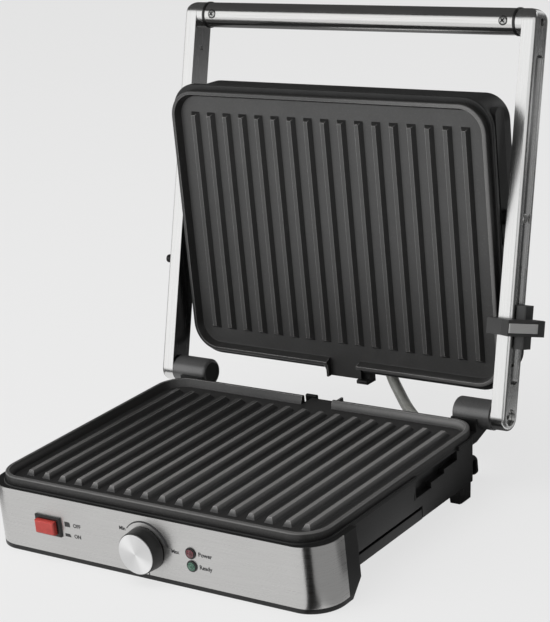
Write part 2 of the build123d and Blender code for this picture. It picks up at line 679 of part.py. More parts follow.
def switch_body():
    body = switch_block(SLEEVE_W, SLEEVE_H, SLEEVE_END, SLEEVE_END + SWITCH_L)
    for x in (SWITCH_X - 5, SWITCH_X + 5):
        tab = (SLEEVE_END + SWITCH_L, SLEEVE_END + SWITCH_L + 7)
        body += span_box((x - 0.4, x + 0.4), tab, (SWITCH_Z - 2.4, SWITCH_Z + 2.4))
    return body


def power_button():
    front = POD_FRONT - BUTTON_OUT
    size = [side - 2 * SLIDE_FIT * 0.7 for side in SLEEVE_BORE]
    button = switch_block(*size, front, front + BUTTON_L)
    return fillet(button.faces().sort_by(Axis.Y)[0].edges(), 1.2)


# Lamps: a domed lens in a ring, with a holder behind the pod wall
def lamp_lens(z):
    barrel = rod_y(POD_FRONT - LENS_OUT + 1, POD_FRONT + LENS_L, LAMP_X, z, LENS_R)
    dome = Pos(LAMP_X, POD_FRONT - LENS_OUT + LENS_R, z) * Sphere(LENS_R)
    return barrel + (dome & rod_y(POD_FRONT - LENS_OUT - 1, POD_FRONT + 1, LAMP_X, z, LENS_R)) - rod_y(
        POD_FRONT + 4, POD_FRONT + LENS_L + 1, LAMP_X, z, LENS_R - 1)


def lamp_rings():
    rings = []
    for z in LAMP_Z:
        ring = rod_y(POD_FRONT - LAMP_RING_T, POD_FRONT, LAMP_X, z, LAMP_RING_R)
        ring = fillet(ring.edges().group_by(Axis.Y)[0], 0.5)
        rings.append(ring - rod_y(POD_FRONT - 9, POD_FRONT + 1, LAMP_X, z, LENS_R + RUN_FIT))
    return rings


def lamp_holders():
    holders = []
    for z in LAMP_Z:
        holder = rod_y(POD_INNER, POD_FRONT + LENS_L + 6, LAMP_X, z, LAMP_HOLDER_R)
        holders.append(holder - rod_y(POD_INNER - 1, POD_FRONT + LENS_L, LAMP_X, z, LENS_R + RUN_FIT))
    return holders


# Thermostat: its body behind the panel, and the shaft, knob and cap that turn in it
def thermostat_body():
    body = rod_y(POD_INNER, POD_INNER + THERMOSTAT_L, 0, KNOB_Z, THERMOSTAT_R)
    body = chamfer(body.edges().group_by(Axis.Y)[-1], 2.0)
    return body - rod_y(POD_INNER - 1, POD_INNER + SHAFT_IN, 0, KNOB_Z, SHAFT_R + RUN_FIT)


KNOB_BACK = POD_FRONT - KNOB_GAP
KNOB_FACE = KNOB_BACK - KNOB_H


def thermostat_shaft():
    return rod_y(KNOB_FACE + 1.5, POD_INNER + SHAFT_IN - 0.3, 0, KNOB_Z, SHAFT_R)


def temperature_knob():
    side = degrees(atan((KNOB_R - KNOB_FRONT_R) / KNOB_H))
    knob = Pos(0, KNOB_BACK, KNOB_Z) * Rot(90, 0, 0) * extrude(Circle(KNOB_R), KNOB_H, taper=side)
    knob -= rod_y(KNOB_FACE - 1, KNOB_FACE + 0.5, 0, KNOB_Z, CAP_R + PANEL_FIT)
    knob -= rod_y(KNOB_FACE + 1.5, KNOB_BACK + 1, 0, KNOB_Z, SHAFT_R + PRESS_FIT)
    skirt = rod_y(KNOB_FACE + 4, KNOB_BACK + 1, 0, KNOB_Z, KNOB_FRONT_R - 2)
    return knob - (skirt - rod_y(KNOB_FACE, KNOB_BACK + 2, 0, KNOB_Z, SHAFT_R + 2.5))


def knob_cap():
    cap = rod_y(KNOB_FACE + 0.5 - CAP_T, KNOB_FACE + 0.5, 0, KNOB_Z, CAP_R)
    return fillet(cap.edges().group_by(Axis.Y)[0], 0.6)


def terminal_block():
    size = (46.0, 16.0, 13.0)
    floor = FLOOR_Z + COVER_T
    block = Pos(GLAND_X, WALL_REAR - 28, floor + size[2] / 2) * Box(*size)
    for step in (-1.5, -0.5, 0.5, 1.5):
        block -= rod_z(floor + 4, floor + 20, GLAND_X + step * 11, WALL_REAR - 28, 3.0)
    return block


def cord_gland():
    gland = rod_y(WALL_REAR, WALL_REAR + 6, GLAND_X, GLAND_Z, GLAND_R)
    gland = fillet(gland.edges().group_by(Axis.Y)[-1], 2.0)
    gland += rod_y(WALL_REAR - 8, WALL_REAR, GLAND_X, GLAND_Z, GLAND_R - 2.5 - PANEL_FIT)
    return gland - rod_y(WALL_REAR - 20, WALL_REAR + 20, GLAND_X, GLAND_Z, GLAND_BORE)


def base_grommet():
    x, z = LEAD_BASE
    grommet = rod_y(WALL_REAR, WALL_REAR + GROMMET_T, x, z, GROMMET_R)
    grommet = fillet(grommet.edges().group_by(Axis.Y)[-1], 0.8)
    return grommet + rod_y(WALL_REAR - 6, WALL_REAR, x, z, GROMMET_R - 2.5 - PANEL_FIT)


# Drip tray: slides in under the back of the base, below the spout
def drip_tray():
    body = TRAY_X - TRAY_FLANGE
    low, high = TRAY_Z
    tray = span_box((-body, body), (TRAY_FRONT, TRAY_REAR), (low, high))
    tray = fillet(tray.edges().filter_by(Axis.Z), 5.0)
    tray = fillet(tray.edges().group_by(Axis.Z)[0], 2.0)
    hollow = span_box((-body + TRAY_T, body - TRAY_T), (TRAY_FRONT + TRAY_T, TRAY_REAR - TRAY_GRIP_T), (low + TRAY_T, high + 1))
    tray -= fillet(hollow.edges().filter_by(Axis.Z), 4.0)
    flange = span_box((body - 1, TRAY_X), (TRAY_FRONT + 8, TRAY_REAR - TRAY_GRIP_T), (high - TRAY_T, high))
    grip = span_box((-TRAY_X, TRAY_X), (TRAY_REAR - TRAY_GRIP_T, TRAY_REAR), (low, high))
    grip = fillet(grip.edges().filter_by(Axis.Y), 4.0)
    return tray + pair(flange) + grip


# Arm: a cast bar with a channel down its outer face, an elbow to the handle and a foot on the hinge
def arm(slotted):
    length = ARM_FOOT + ARM_LENGTH + ARM_HEAD
    middle = (ARM_LENGTH + ARM_HEAD - ARM_FOOT) / 2
    depth = ARM_FRONT + ARM_REAR
    outline = RectangleRounded(depth, length, depth / 2 - 0.1)
    bar = extrude(Plane.YZ.offset(ARM_IN) * Pos(ARM_MID, middle) * outline, ARM_T)
    front = Pos((ARM_IN + ARM_OUT) / 2, middle - ELBOW_FLAT / 2) * Rectangle(ARM_T, length - ELBOW_FLAT)
    front = fillet(front.vertices().group_by(Axis.Y)[-1].sort_by(Axis.X)[-1], ELBOW_R)
    bar = bar & extrude(Plane.XZ * front, depth, both=True)
    bar = fillet(bar.faces().sort_by(Axis.X)[-1].edges(), ARM_ROUND)
    bar += rod_x(STUB_IN, ARM_IN + 2, 0, ARM_LENGTH, TUBE_R)
    bar += rod_x(STUB_IN - SPIGOT_L, STUB_IN + 1, 0, ARM_LENGTH, SPIGOT_R)
    bar += rod_x(BARREL_OUT + SLIDE_FIT, ARM_IN + 1, 0, 0, BARREL_R - 1.5)
    channel = RectangleRounded(CHANNEL_W, ARM_LENGTH - 2 * CHANNEL_END, CHANNEL_W / 2 - 0.1)
    place = Plane.YZ.offset(ARM_OUT - CHANNEL_DEPTH) * Pos(ARM_MID, ARM_LENGTH / 2)
    bar -= extrude(place * channel, CHANNEL_DEPTH + 1)
    bar -= rod_x(STUB_IN - 9, ARM_OUT - HINGE_SCREW_T - 2.6 + 0.2, 0, 0, HINGE_PIN_R + RUN_FIT)
    bar -= rod_x(ARM_OUT - HINGE_SCREW_T - 2.6, ARM_OUT + 1, 0, 0, HINGE_SCREW_R + SLIDE_FIT)
    bar -= rod_x(ARM_IN - 1, ARM_OUT + 1, ARM_MID, PIVOT_AT, PIVOT_R + PRESS_FIT)
    bar -= rod_x(ARM_OUT - RECESS_L, ARM_OUT + 1, ARM_MID, ARM_LENGTH, RECESS_R)
    bar -= rod_x(ARM_IN - 1, ARM_IN + 3, ARM_MID, INNER_HOLE_AT, 2.0)
    at = STUB_IN - COLLAR_L - HANDLE_SCREW_IN
    bar -= rod_y(-TUBE_R, 0, at, ARM_LENGTH, SCREW_R + RUN_FIT)
    if slotted:
        low, high = SLIDER_RANGE[0] - SLIDER_L / 2 - 2, SLIDER_RANGE[1] + SLIDER_L / 2 + 2
        slot = RectangleRounded(SLOT_W, high - low, SLOT_W / 2 - 0.1)
        place = Plane.YZ.offset(ARM_OUT - SLOT_DEPTH) * Pos(ARM_MID, (low + high) / 2)
        return bar - extrude(place * slot, SLOT_DEPTH + 1)
    return bar - rod_x(ARM_OUT - 8, ARM_OUT + 1, ARM_MID, STUD_AT, STUD_R - 1 + PRESS_FIT)


HANDLE_END = STUB_IN - COLLAR_L - RUN_FIT


def handle_bar():
    tube = rod_x(-HANDLE_END, HANDLE_END, 0, ARM_LENGTH, TUBE_R)
    tube -= rod_x(-LIP_W, LIP_W, 0, ARM_LENGTH, TUBE_R - TUBE_T)
    at = STUB_IN - COLLAR_L - HANDLE_SCREW_IN
    holes = rod_y(-TUBE_R - 2, 0, at, ARM_LENGTH, SCREW_R + RUN_FIT)
    holes += rod_y(-TUBE_R - 2, -TUBE_R + 0.4, at, ARM_LENGTH, HANDLE_SCREW_R + RUN_FIT)
    return tube - pair(holes)


def handle_collar():
    ring = rod_x(STUB_IN - COLLAR_L, STUB_IN - RUN_FIT, 0, ARM_LENGTH, COLLAR_R)
    return ring - rod_x(STUB_IN - 9, STUB_IN + 1, 0, ARM_LENGTH, SPIGOT_R + RUN_FIT)


def handle_screw():
    at = STUB_IN - COLLAR_L - HANDLE_SCREW_IN
    head = rod_y(-TUBE_R - 0.5, -TUBE_R + 0.4, at, ARM_LENGTH, HANDLE_SCREW_R)
    return head + rod_y(-TUBE_R + 0.4, -TUBE_R + 6, at, ARM_LENGTH, SCREW_R)


def pivot_pin():
    base = ARM_OUT - CHANNEL_DEPTH
    head = rod_x(base, base + PIVOT_HEAD_T, ARM_MID, PIVOT_AT, PIVOT_HEAD_R)
    head = fillet(head.edges().group_by(Axis.X)[-1], 1.0)
    return head + rod_x(ARM_IN - 12, base, ARM_MID, PIVOT_AT, PIVOT_R)


def stop_stud():
    base = ARM_OUT - CHANNEL_DEPTH
    head = rod_x(base, ARM_OUT + STUD_OUT, ARM_MID, STUD_AT, STUD_R)
    head = fillet(head.edges().group_by(Axis.X)[-1], 1.2)
    return other_side(head + rod_x(ARM_OUT - 7.5, base, ARM_MID, STUD_AT, STUD_R - 1))


# Head: a moulded shell with the plate under it, pivot bosses at its sides and a steel sheet on its back
def head_outline(inset):
    width = HEAD_LIP_W - 2 * (HEAD_INSET[0] + inset)
    depth = HEAD_LIP_D - 2 * (HEAD_INSET[1] + inset)
    return Pos(0, HEAD_PLATE_Y) * RectangleRounded(width, depth, LIP_R - HEAD_INSET[1] - inset)


def head_housing():
    seat = HEAD_FLOOR + LIP_T
    top = HEAD_FLOOR + HEAD_H
    lip = Pos(0, HEAD_PLATE_Y) * RectangleRounded(HEAD_LIP_W, HEAD_LIP_D, LIP_R)
    lip = slab(lip, HEAD_FLOOR, seat)
    lip = fillet(lip.edges().group_by(Axis.Z)[0], LIP_ROUND)
    shell = extrude(Pos(0, 0, seat) * head_outline(0), top - seat, taper=HEAD_DRAFT)
    shell = fillet(shell.edges().group_by(Axis.Z)[-1], HEAD_ROUND)
    pad_x = WALL_X - 1
    pad = span_box((pad_x - 8, pad_x + 1), SIDE_PAD, (-SIDE_PAD_W / 2, SIDE_PAD_W / 2))
    pad = fillet(pad.edges().filter_by(Axis.X), SIDE_PAD_W / 2 - 0.5)
    shell += pair(pad)
    x, z = LEAD_HEAD
    shell += rod_y(HEAD_REAR - 9, HEAD_REAR - 1, x, z, GROMMET_R + 1)
    room = extrude(Pos(0, 0, HEAD_FLOOR) * head_outline(WALL), HEAD_H - HEAD_TOP_T, taper=HEAD_DRAFT)
    room = room & span_box((-LIP_W, LIP_W), (-LIP_D, 2 * LIP_D), (seat, top))
    well = Pos(0, HEAD_PLATE_Y) * RectangleRounded(*WELL)
    housing = lip + shell - room - slab(well, HEAD_FLOOR - 1, seat + 1)
    boss = rod_x(ARM_IN - 14, ARM_IN - BOSS_GAP, 0, 0, BOSS_R)
    housing += pair(boss)
    column_base = HEAD_FLOOR - SHIELD_TOP + SHIELD_T
    for x, y in corners(COLUMN, COLUMN_Y):
        column = rod_z(column_base, top - HEAD_TOP_T + 0.5, x, y + HEAD_PLATE_Y, COLUMN_R)
        housing += column & extrude(Pos(0, 0, HEAD_FLOOR) * head_outline(WALL / 2), HEAD_H - 1, taper=HEAD_DRAFT)
        housing -= screw_hole(x, y + HEAD_PLATE_Y, column_base, -1)
    turned = Pos(0, HEAD_PLATE_Y, HEAD_FLOOR) * Rot(0, 180, 0)
    housing += turned * latch_guide(LIP_D / 2)
    housing -= [turned * latch_way(HEAD_LIP_D / 2 + 1), turned * spout_notch(HEAD_LIP_D / 2)]
    housing -= pair(rod_x(ARM_IN - 13, ARM_IN, 0, 0, PIVOT_R + RUN_FIT))
    x, z = LEAD_HEAD
    housing -= rod_y(HEAD_REAR - 20, HEAD_REAR + 1, x, z, GROMMET_R - 2.5)
    margin = 2 * HEAD_COVER_MARGIN
    recess = Pos(0, HEAD_PLATE_Y) * RectangleRounded(LIP_W - margin + 0.4, LIP_D - margin + 0.4, 16.2)
    return housing - slab(recess, top - HEAD_COVER_T, top + 1)


def head_cover():
    top = HEAD_FLOOR + HEAD_H
    margin = 2 * HEAD_COVER_MARGIN
    sheet = Pos(0, HEAD_PLATE_Y) * RectangleRounded(LIP_W - margin, LIP_D - margin, 16.0)
    return slab(sheet, top - HEAD_COVER_T, top)


def head_grommet():
    x, z = LEAD_HEAD
    grommet = rod_y(HEAD_REAR, HEAD_REAR + GROMMET_T, x, z, GROMMET_R)
    grommet = fillet(grommet.edges().group_by(Axis.Y)[-1], 0.8)
    return grommet + rod_y(HEAD_REAR - 6, HEAD_REAR, x, z, GROMMET_R - 2.5 - PANEL_FIT)


# Height slider: a block in the arm's slot with a bar round the front of the arm and a trim on its slanted face
SLIDER_FACE = ((ARM_OUT + SLIDER_NOSE, -ARM_FRONT - SLIDE_FIT - SLIDER_BAR_D),
               (ARM_OUT + SLIDER_END, ARM_MID + SLIDER_W / 2 - 3.0))


def slider_block():
    side = ARM_OUT + SLIDE_FIT
    block = span_box((side, side + SLIDER_OUT), (ARM_MID - SLIDER_W / 2, ARM_MID + SLIDER_W / 2), (-SLIDER_L / 2, SLIDER_L / 2))
    block = fillet(block.edges().filter_by(Axis.Z), 1.5)
    front = -ARM_FRONT - SLIDE_FIT
    tip = LIP_W / 2 - SLIDER_TIP
    step = front - SLIDER_TIP_D
    back = ARM_MID + SLIDER_W / 2
    plan = [(tip, front), (tip, step), (tip + SLIDER_TIP_L, step), SLIDER_FACE[0], SLIDER_FACE[1]]
    plan += [(SLIDER_FACE[1][0] - 3, back), (side, back), (side, front)]
    bar = slab(make_face(Polyline(*plan, close=True)), -SLIDER_BAR / 2, SLIDER_BAR / 2)
    tongue = (SLOT_W - 2 * SLIDE_FIT * 0.7) / 2
    depth = ARM_OUT - SLOT_DEPTH + SLIDE_FIT
    guide = span_box((depth, side + 1), (ARM_MID - tongue, ARM_MID + tongue), (-SLIDER_L / 2 + 2, SLIDER_L / 2 - 2))
    return Pos(0, 0, SLIDER_AT) * (block + bar + guide)


def slider_trim():
    width, height, thick = TRIM
    trim = span_box((0.6, 0.6 + width), (-thick, 0), (-height / 2, height / 2))
    trim = chamfer(trim.faces().sort_by(Axis.Y)[0].edges(), 0.3)
    (x0, y0), (x1, y1) = SLIDER_FACE
    return Pos(x0, y0, SLIDER_AT) * Rot(0, 0, degrees(atan2(y1 - y0, x1 - x0))) * trim


# Lead: one flexible tube from the base's back wall up into the head's
def link_lead():
    x, z = LEAD_BASE
    start = Vector(x, WALL_REAR + GROMMET_T, z)
    head_rear = HEAD_REAR + GROMMET_T
    finish = (HEAD * Pos(LEAD_HEAD[0], head_rear, LEAD_HEAD[1])).position
    hang = (HEAD * Pos(LEAD_HEAD[0], head_rear + 9, LEAD_HEAD[1])).position
    route = [start, start + Vector(0, 15, 0), start + Vector(-9, 29, 3.5), start + Vector(-22.5, 40, 8.5)]
    route += [hang + Vector(15, -11.5, -13.5), hang + Vector(5, -4, -7.5), hang, finish]
    runs = [(b - a) for a, b in zip(route, route[1:])]
    radii = []
    for before, after in zip(runs, runs[1:]):
        turn = radians(before.get_angle(after))
        radii.append(0.45 * min(before.length, after.length) / tan(turn / 2))
    print("lead bend radii", [round(radius, 1) for radius in radii])
    path = FilletPolyline(*route, radius=radii)
    print("lead length", round(path.length, 1))
    return sweep(Plane(path @ 0, z_dir=path % 0) * Circle(LEAD_R), path=path)


def placed(where, shapes):
    shapes = shapes if isinstance(shapes, list) else [shapes]
    return [where * shape for shape in shapes]


plate = cooking_plate()
shield = heat_shield()
element = heating_element()
right_arm = arm(True)
left_arm = other_side(arm(False))

NODES = {
    "base_housing": [base_housing()],
    "front_panel": [front_panel()],
    "front_bottom_cover": [front_bottom_cover()],
    "rear_bottom_cover": [rear_bottom_cover()],
    "cover_screws": cover_screws(),
    "rubber_feet": rubber_feet(),
    "lower_plate": placed(ON_BASE, plate),
    "lower_heat_shield": placed(ON_BASE, shield),
    "lower_shield_screws": placed(ON_BASE, shield_screws()),
    "lower_heating_element": placed(ON_BASE, element),
    "lower_element_clips": placed(ON_BASE, element_clips()),
    "thermal_fuse": placed(ON_BASE, thermal_fuse()),
    "hinge_brackets": pair(hinge_bracket()),
    "hinge_barrel_right": [hinge_barrel()],
    "hinge_barrel_left": [other_side(hinge_barrel())],
    "hinge_end_caps": pair(hinge_end_cap()),
    "hinge_pins": pair(hinge_pin()),
    "hinge_screws": pair(hinge_screw()),
    "switch_bezel": [switch_bezel()],
    "switch_body": [switch_body()],
    "power_button": [power_button()],
    "power_lamp": [lamp_lens(LAMP_Z[0])],
    "ready_lamp": [lamp_lens(LAMP_Z[1])],
    "lamp_rings": lamp_rings(),
    "lamp_holders": lamp_holders(),
    "thermostat_body": [thermostat_body()],
    "thermostat_shaft": [thermostat_shaft()],
    "temperature_knob": [temperature_knob()],
    "knob_cap": [knob_cap()],
    "terminal_block": [terminal_block()],
    "cord_gland": [cord_gland()],
    "base_grommet": [base_grommet()],
    "lower_latch": placed(ON_BASE, plate_latch()),
    "drip_tray": [drip_tray()],
    "arm_right": placed(LID, right_arm),
    "arm_left": placed(LID, left_arm),
    "handle_bar": placed(LID, handle_bar()),
    "handle_collars": placed(LID, pair(handle_collar())),
    "handle_screws": placed(LID, pair(handle_screw())),
    "pivot_pins": placed(LID, pair(pivot_pin())),
    "stop_stud": placed(LID, stop_stud()),
    "head_housing": placed(HEAD, head_housing()),
    "head_cover": placed(HEAD, head_cover()),
    "upper_plate": placed(UNDER_HEAD, plate),
    "upper_heat_shield": placed(UNDER_HEAD, shield),
    "upper_shield_screws": placed(UNDER_HEAD, shield_screws()),
    "upper_heating_element": placed(UNDER_HEAD, element),
    "upper_element_clips": placed(UNDER_HEAD, element_clips()),
    "upper_latch": placed(UNDER_HEAD, plate_latch()),
    "head_grommet": placed(HEAD, head_grommet()),
    "slider_block": placed(LID, slider_block()),
    "slider_trim": placed(LID, slider_trim()),
    "link_lead": [link_lead()],
}

# The frame's origin is on the table, under the middle of the box round the whole object
lean = radians(ARM_LEAN)
LEFT = -ARM_OUT - STUD_OUT
RIGHT = ARM_OUT + SLIDER_END
FRONT = KNOB_FACE + 0.5 - CAP_T
BACK = HINGE_Y + ARM_LENGTH * sin(lean) + COLLAR_R
ORIGIN = Pos(-(LEFT + RIGHT) / 2, -(FRONT + BACK) / 2, 0)

os.makedirs("parts", exist_ok=True)
for name, shapes in NODES.items():
    solids = [solid for shape in shapes for solid in (ORIGIN * shape).solids()]
    export_step(solids[0] if len(solids) == 1 else Compound(children=solids), f"parts/{name}.step")

shift = ORIGIN.position
print("origin shift", shift)
print("lid hinge", shift + Vector(0, HINGE_Y, HINGE_Z))
print("head pivot", shift + PIVOT.position)
print("knob axis", shift + Vector(0, KNOB_FACE, KNOB_Z))
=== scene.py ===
import bpy
import bmesh
from math import cos, pi, radians, sin
from mathutils import Matrix, Vector


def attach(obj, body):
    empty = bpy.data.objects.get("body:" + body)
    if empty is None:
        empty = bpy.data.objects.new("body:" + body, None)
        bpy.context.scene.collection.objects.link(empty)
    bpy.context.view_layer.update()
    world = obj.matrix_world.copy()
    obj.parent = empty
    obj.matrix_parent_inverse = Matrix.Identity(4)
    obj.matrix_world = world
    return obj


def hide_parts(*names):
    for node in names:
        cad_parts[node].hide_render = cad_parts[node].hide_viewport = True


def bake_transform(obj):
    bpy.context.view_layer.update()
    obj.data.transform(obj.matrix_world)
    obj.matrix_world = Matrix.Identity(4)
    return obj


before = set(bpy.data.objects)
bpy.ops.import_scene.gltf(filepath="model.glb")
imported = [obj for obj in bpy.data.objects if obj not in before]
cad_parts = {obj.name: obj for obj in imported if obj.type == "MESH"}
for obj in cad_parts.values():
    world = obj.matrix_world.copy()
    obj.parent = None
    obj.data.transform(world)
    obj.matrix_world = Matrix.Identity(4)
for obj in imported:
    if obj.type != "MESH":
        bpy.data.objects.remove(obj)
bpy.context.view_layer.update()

# Base housing: one black injection moulding, with a fine spark-eroded grain that breaks up its shine.
# Its two bottom covers and hinge brackets are the same plastic.
# The feet, the lead's grommets and the cord gland are dull rubber.


def finish(name):
    material = bpy.data.materials.new(name)
    material.use_nodes = True
    return material, material.node_tree, material.node_tree.nodes["Principled BSDF"]


def add(tree, kind, **values):
    made = tree.nodes.new(kind)
    for key, value in values.items():
        if key in made.inputs:
            made.inputs[key].default_value = value
        else:
            setattr(made, key, value)
    return made


def wire(tree, *pairs):
    for source, target in pairs:
        tree.links.new(source, target)


def grain(tree, size, stretch=(1, 1, 1), turn=(0, 0, 0), detail=3.0, roughness=0.55):
    place = add(tree, "ShaderNodeTexCoord")
    unturn = add(tree, "ShaderNodeMapping", vector_type="TEXTURE", Rotation=turn)
    scale = add(tree, "ShaderNodeMapping", Scale=[s / size for s in stretch])
    noise = add(tree, "ShaderNodeTexNoise", Scale=1.0, Detail=detail, Roughness=roughness)
    wire(
        tree,
        (place.outputs["Object"], unturn.inputs["Vector"]),
        (unturn.outputs["Vector"], scale.inputs["Vector"]),
        (scale.outputs["Vector"], noise.inputs["Vector"]),
    )
    return noise.outputs["Fac"]


def levels(tree, source, low, high, start=0.3, end=0.7):
    spread = add(tree, "ShaderNodeMapRange")
    for socket, value in zip(("From Min", "From Max", "To Min", "To Max"), (start, end, low, high)):
        spread.inputs[socket].default_value = value
    wire(tree, (source, spread.inputs["Value"]))
    return spread.outputs["Result"]


def tint(tree, source, *stops):
    ramp = add(tree, "ShaderNodeValToRGB")
    while len(ramp.color_ramp.elements) < len(stops):
        ramp.color_ramp.elements.new(0.5)
    for element, (at, colour) in zip(ramp.color_ramp.elements, stops):
        element.position = at
        element.color = (*colour, 1)
    wire(tree, (source, ramp.inputs["Fac"]))
    return ramp.outputs["Color"]


def relief(tree, shader, source, depth, strength, edge=0.0004):
    round_edge = add(tree, "ShaderNodeBevel", samples=4, Radius=edge)
    bump = add(tree, "ShaderNodeBump", Strength=strength, Distance=depth)
    wire(
        tree,
        (round_edge.outputs["Normal"], bump.inputs["Normal"]),
        (source, bump.inputs["Height"]),
        (bump.outputs["Normal"], shader.inputs["Normal"]),
    )


def moulded(name, dark, light, rough, size=0.0007, strength=0.25, edge=0.0005, patch=0.03, depth=0.0002):
    material, tree, shader = finish(name)
    fine = grain(tree, size)
    tone = tint(tree, grain(tree, patch), (0.3, [dark] * 3), (0.7, [light] * 3))
    dullness = levels(tree, fine, rough - 0.05, rough + 0.07)
    wire(tree, (tone, shader.inputs["Base Color"]), (dullness, shader.inputs["Roughness"]))
    relief(tree, shader, fine, depth, strength, edge)
    return material


def coat(material, *nodes):
    for node in nodes:
        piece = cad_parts[node]
        piece.data.materials.clear()
        piece.data.materials.append(material)


housing_plastic = moulded("housing_black_plastic", 0.008, 0.013, 0.42)
housing_plastic.node_tree.nodes["Principled BSDF"].inputs["Specular IOR Level"].default_value = 0.35
coat(housing_plastic, "base_housing", "front_bottom_cover", "rear_bottom_cover", "hinge_brackets")
foot_rubber = moulded("foot_rubber", 0.012, 0.02, 0.72, size=0.0009, strength=0.4)
coat(foot_rubber, "rubber_feet", "base_grommet", "head_grommet", "cord_gland")

# Cover screws: zinc-plated domed heads, with painted shade in the cross recess, and a flattened black dome
# under each as a painted shadow ring.
# Six are driven up through the bottom covers, and the same tree makes the two that hold the handle.
shift = Vector((-0.008, -0.0483146, 0))
millimetre = 0.001


def placed(x, y, z):
    return shift + Vector((x, y, z)) * millimetre


def put(name, data):
    made = bpy.data.objects.new(name, data)
    bpy.context.scene.collection.objects.link(made)
    return made


def settled(source):
    bpy.context.view_layer.update()
    mesh = bpy.data.meshes.new_from_object(source.evaluated_get(bpy.context.evaluated_depsgraph_get()))
    bpy.data.objects.remove(source)
    return mesh


def brushed(
    name, dark, light, rough, stretch, turn=(0, 0, 0), size=0.00035, strength=0.12, along=None,
    patch=0.05, patch_share=0.25, depth=0.00005, edge=0.0003,
):
    material, tree, shader = finish(name)
    shader.inputs["Metallic"].default_value = 1.0
    streaks = grain(tree, size, stretch, turn, 4.0, 0.6)
    patches = add(tree, "ShaderNodeMath", operation="MULTIPLY_ADD")
    patches.inputs[1].default_value = patch_share
    wire(tree, (grain(tree, patch), patches.inputs[0]), (streaks, patches.inputs[2]))
    tone = tint(tree, patches.outputs[0], (0.42, dark), (0.82, light))
    dullness = levels(tree, streaks, rough - 0.05, rough + 0.06)
    wire(tree, (tone, shader.inputs["Base Color"]), (dullness, shader.inputs["Roughness"]))
    relief(tree, shader, streaks, depth, strength, edge)
    if along:
        pull, axis, turned = along
        shader.inputs["Anisotropic"].default_value = pull
        tangent = add(tree, "ShaderNodeTangent", direction_type="RADIAL", axis=axis)
        wire(tree, (tangent.outputs["Tangent"], shader.inputs["Tangent"]))
        shader.inputs["Anisotropic Rotation"].default_value = turned
    return material


# Painted shade: the dark colour given to the cross recesses and to the shadow ring under each head.
painted_shade_black = moulded("screw_painted_shade_black", 0.006, 0.01, 0.6)
zinc_steel = brushed("zinc_plated_steel", (0.5, 0.5, 0.49), (0.64, 0.64, 0.63), 0.25, (1, 1, 1), size=0.0006)
screw_tree = bpy.data.node_groups.new("cross_recess_screws", "GeometryNodeTree")
screw_inputs = {"Seats": "Geometry", "Head radius": "Float", "Head height": "Float", "Plating": "Material"}
sockets = {}
for name, kind in screw_inputs.items():
    sockets[name] = screw_tree.interface.new_socket(name, in_out="INPUT", socket_type="NodeSocket" + kind)
screw_tree.interface.new_socket("Screws", in_out="OUTPUT", socket_type="NodeSocketGeometry")
recess_lift = (0, 0, 1.1)
given = add(screw_tree, "NodeGroupInput")
dome = add(screw_tree, "GeometryNodeMeshUVSphere", Segments=28, Rings=14, Radius=1.0)
bar = add(screw_tree, "GeometryNodeMeshCube", Size=(1.3, 0.36, 1.3))
shaded = add(screw_tree, "GeometryNodeSetMaterial", Material=painted_shade_black)
one_bar = add(screw_tree, "GeometryNodeTransform", Translation=recess_lift, Rotation=(0, 0, pi / 4))
cross_bar = add(screw_tree, "GeometryNodeTransform", Translation=recess_lift, Rotation=(0, 0, -pi / 4))
head = add(screw_tree, "GeometryNodeMeshBoolean", operation="DIFFERENCE")
# Painted shadow: a flattened black copy of the dome makes a dark ring round each head.
shadow_ring = add(screw_tree, "GeometryNodeTransform", Scale=(1.2, 1.2, 0.36))
shadow_ring_dark = add(screw_tree, "GeometryNodeSetMaterial", Material=painted_shade_black)
whole = add(screw_tree, "GeometryNodeMeshBoolean", operation="UNION")
girth = add(screw_tree, "ShaderNodeCombineXYZ")
sized_head = add(screw_tree, "GeometryNodeTransform")
facing = add(screw_tree, "GeometryNodeInputNamedAttribute", data_type="FLOAT_VECTOR", Name="facing")
aligned = add(screw_tree, "FunctionNodeAlignRotationToVector", axis="Z")
on_seats = add(screw_tree, "GeometryNodeInstanceOnPoints")
real = add(screw_tree, "GeometryNodeRealizeInstances")
plated = add(screw_tree, "GeometryNodeSetMaterial")
made = add(screw_tree, "NodeGroupOutput")
wire(
    screw_tree,
    (bar.outputs["Mesh"], shaded.inputs["Geometry"]),
    (shaded.outputs["Geometry"], one_bar.inputs["Geometry"]),
    (shaded.outputs["Geometry"], cross_bar.inputs["Geometry"]),
    (dome.outputs["Mesh"], plated.inputs["Geometry"]),
    (given.outputs["Plating"], plated.inputs["Material"]),
    (plated.outputs["Geometry"], head.inputs["Mesh 1"]),
    (one_bar.outputs["Geometry"], head.inputs["Mesh 2"]),
    (cross_bar.outputs["Geometry"], head.inputs["Mesh 2"]),
    (dome.outputs["Mesh"], shadow_ring.inputs["Geometry"]),
    (shadow_ring.outputs["Geometry"], shadow_ring_dark.inputs["Geometry"]),
    (head.outputs["Mesh"], whole.inputs["Mesh 2"]),
    (shadow_ring_dark.outputs["Geometry"], whole.inputs["Mesh 2"]),
    (given.outputs["Head radius"], girth.inputs["X"]),
    (given.outputs["Head radius"], girth.inputs["Y"]),
    (given.outputs["Head height"], girth.inputs["Z"]),
    (whole.outputs["Mesh"], sized_head.inputs["Geometry"]),
    (girth.outputs["Vector"], sized_head.inputs["Scale"]),
    (facing.outputs["Attribute"], aligned.inputs["Vector"]),
    (given.outputs["Seats"], on_seats.inputs["Points"]),
    (sized_head.outputs["Geometry"], on_seats.inputs["Instance"]),
    (aligned.outputs["Rotation"], on_seats.inputs["Rotation"]),
    (on_seats.outputs["Instances"], real.inputs["Geometry"]),
    (real.outputs["Geometry"], made.inputs["Screws"]),
)


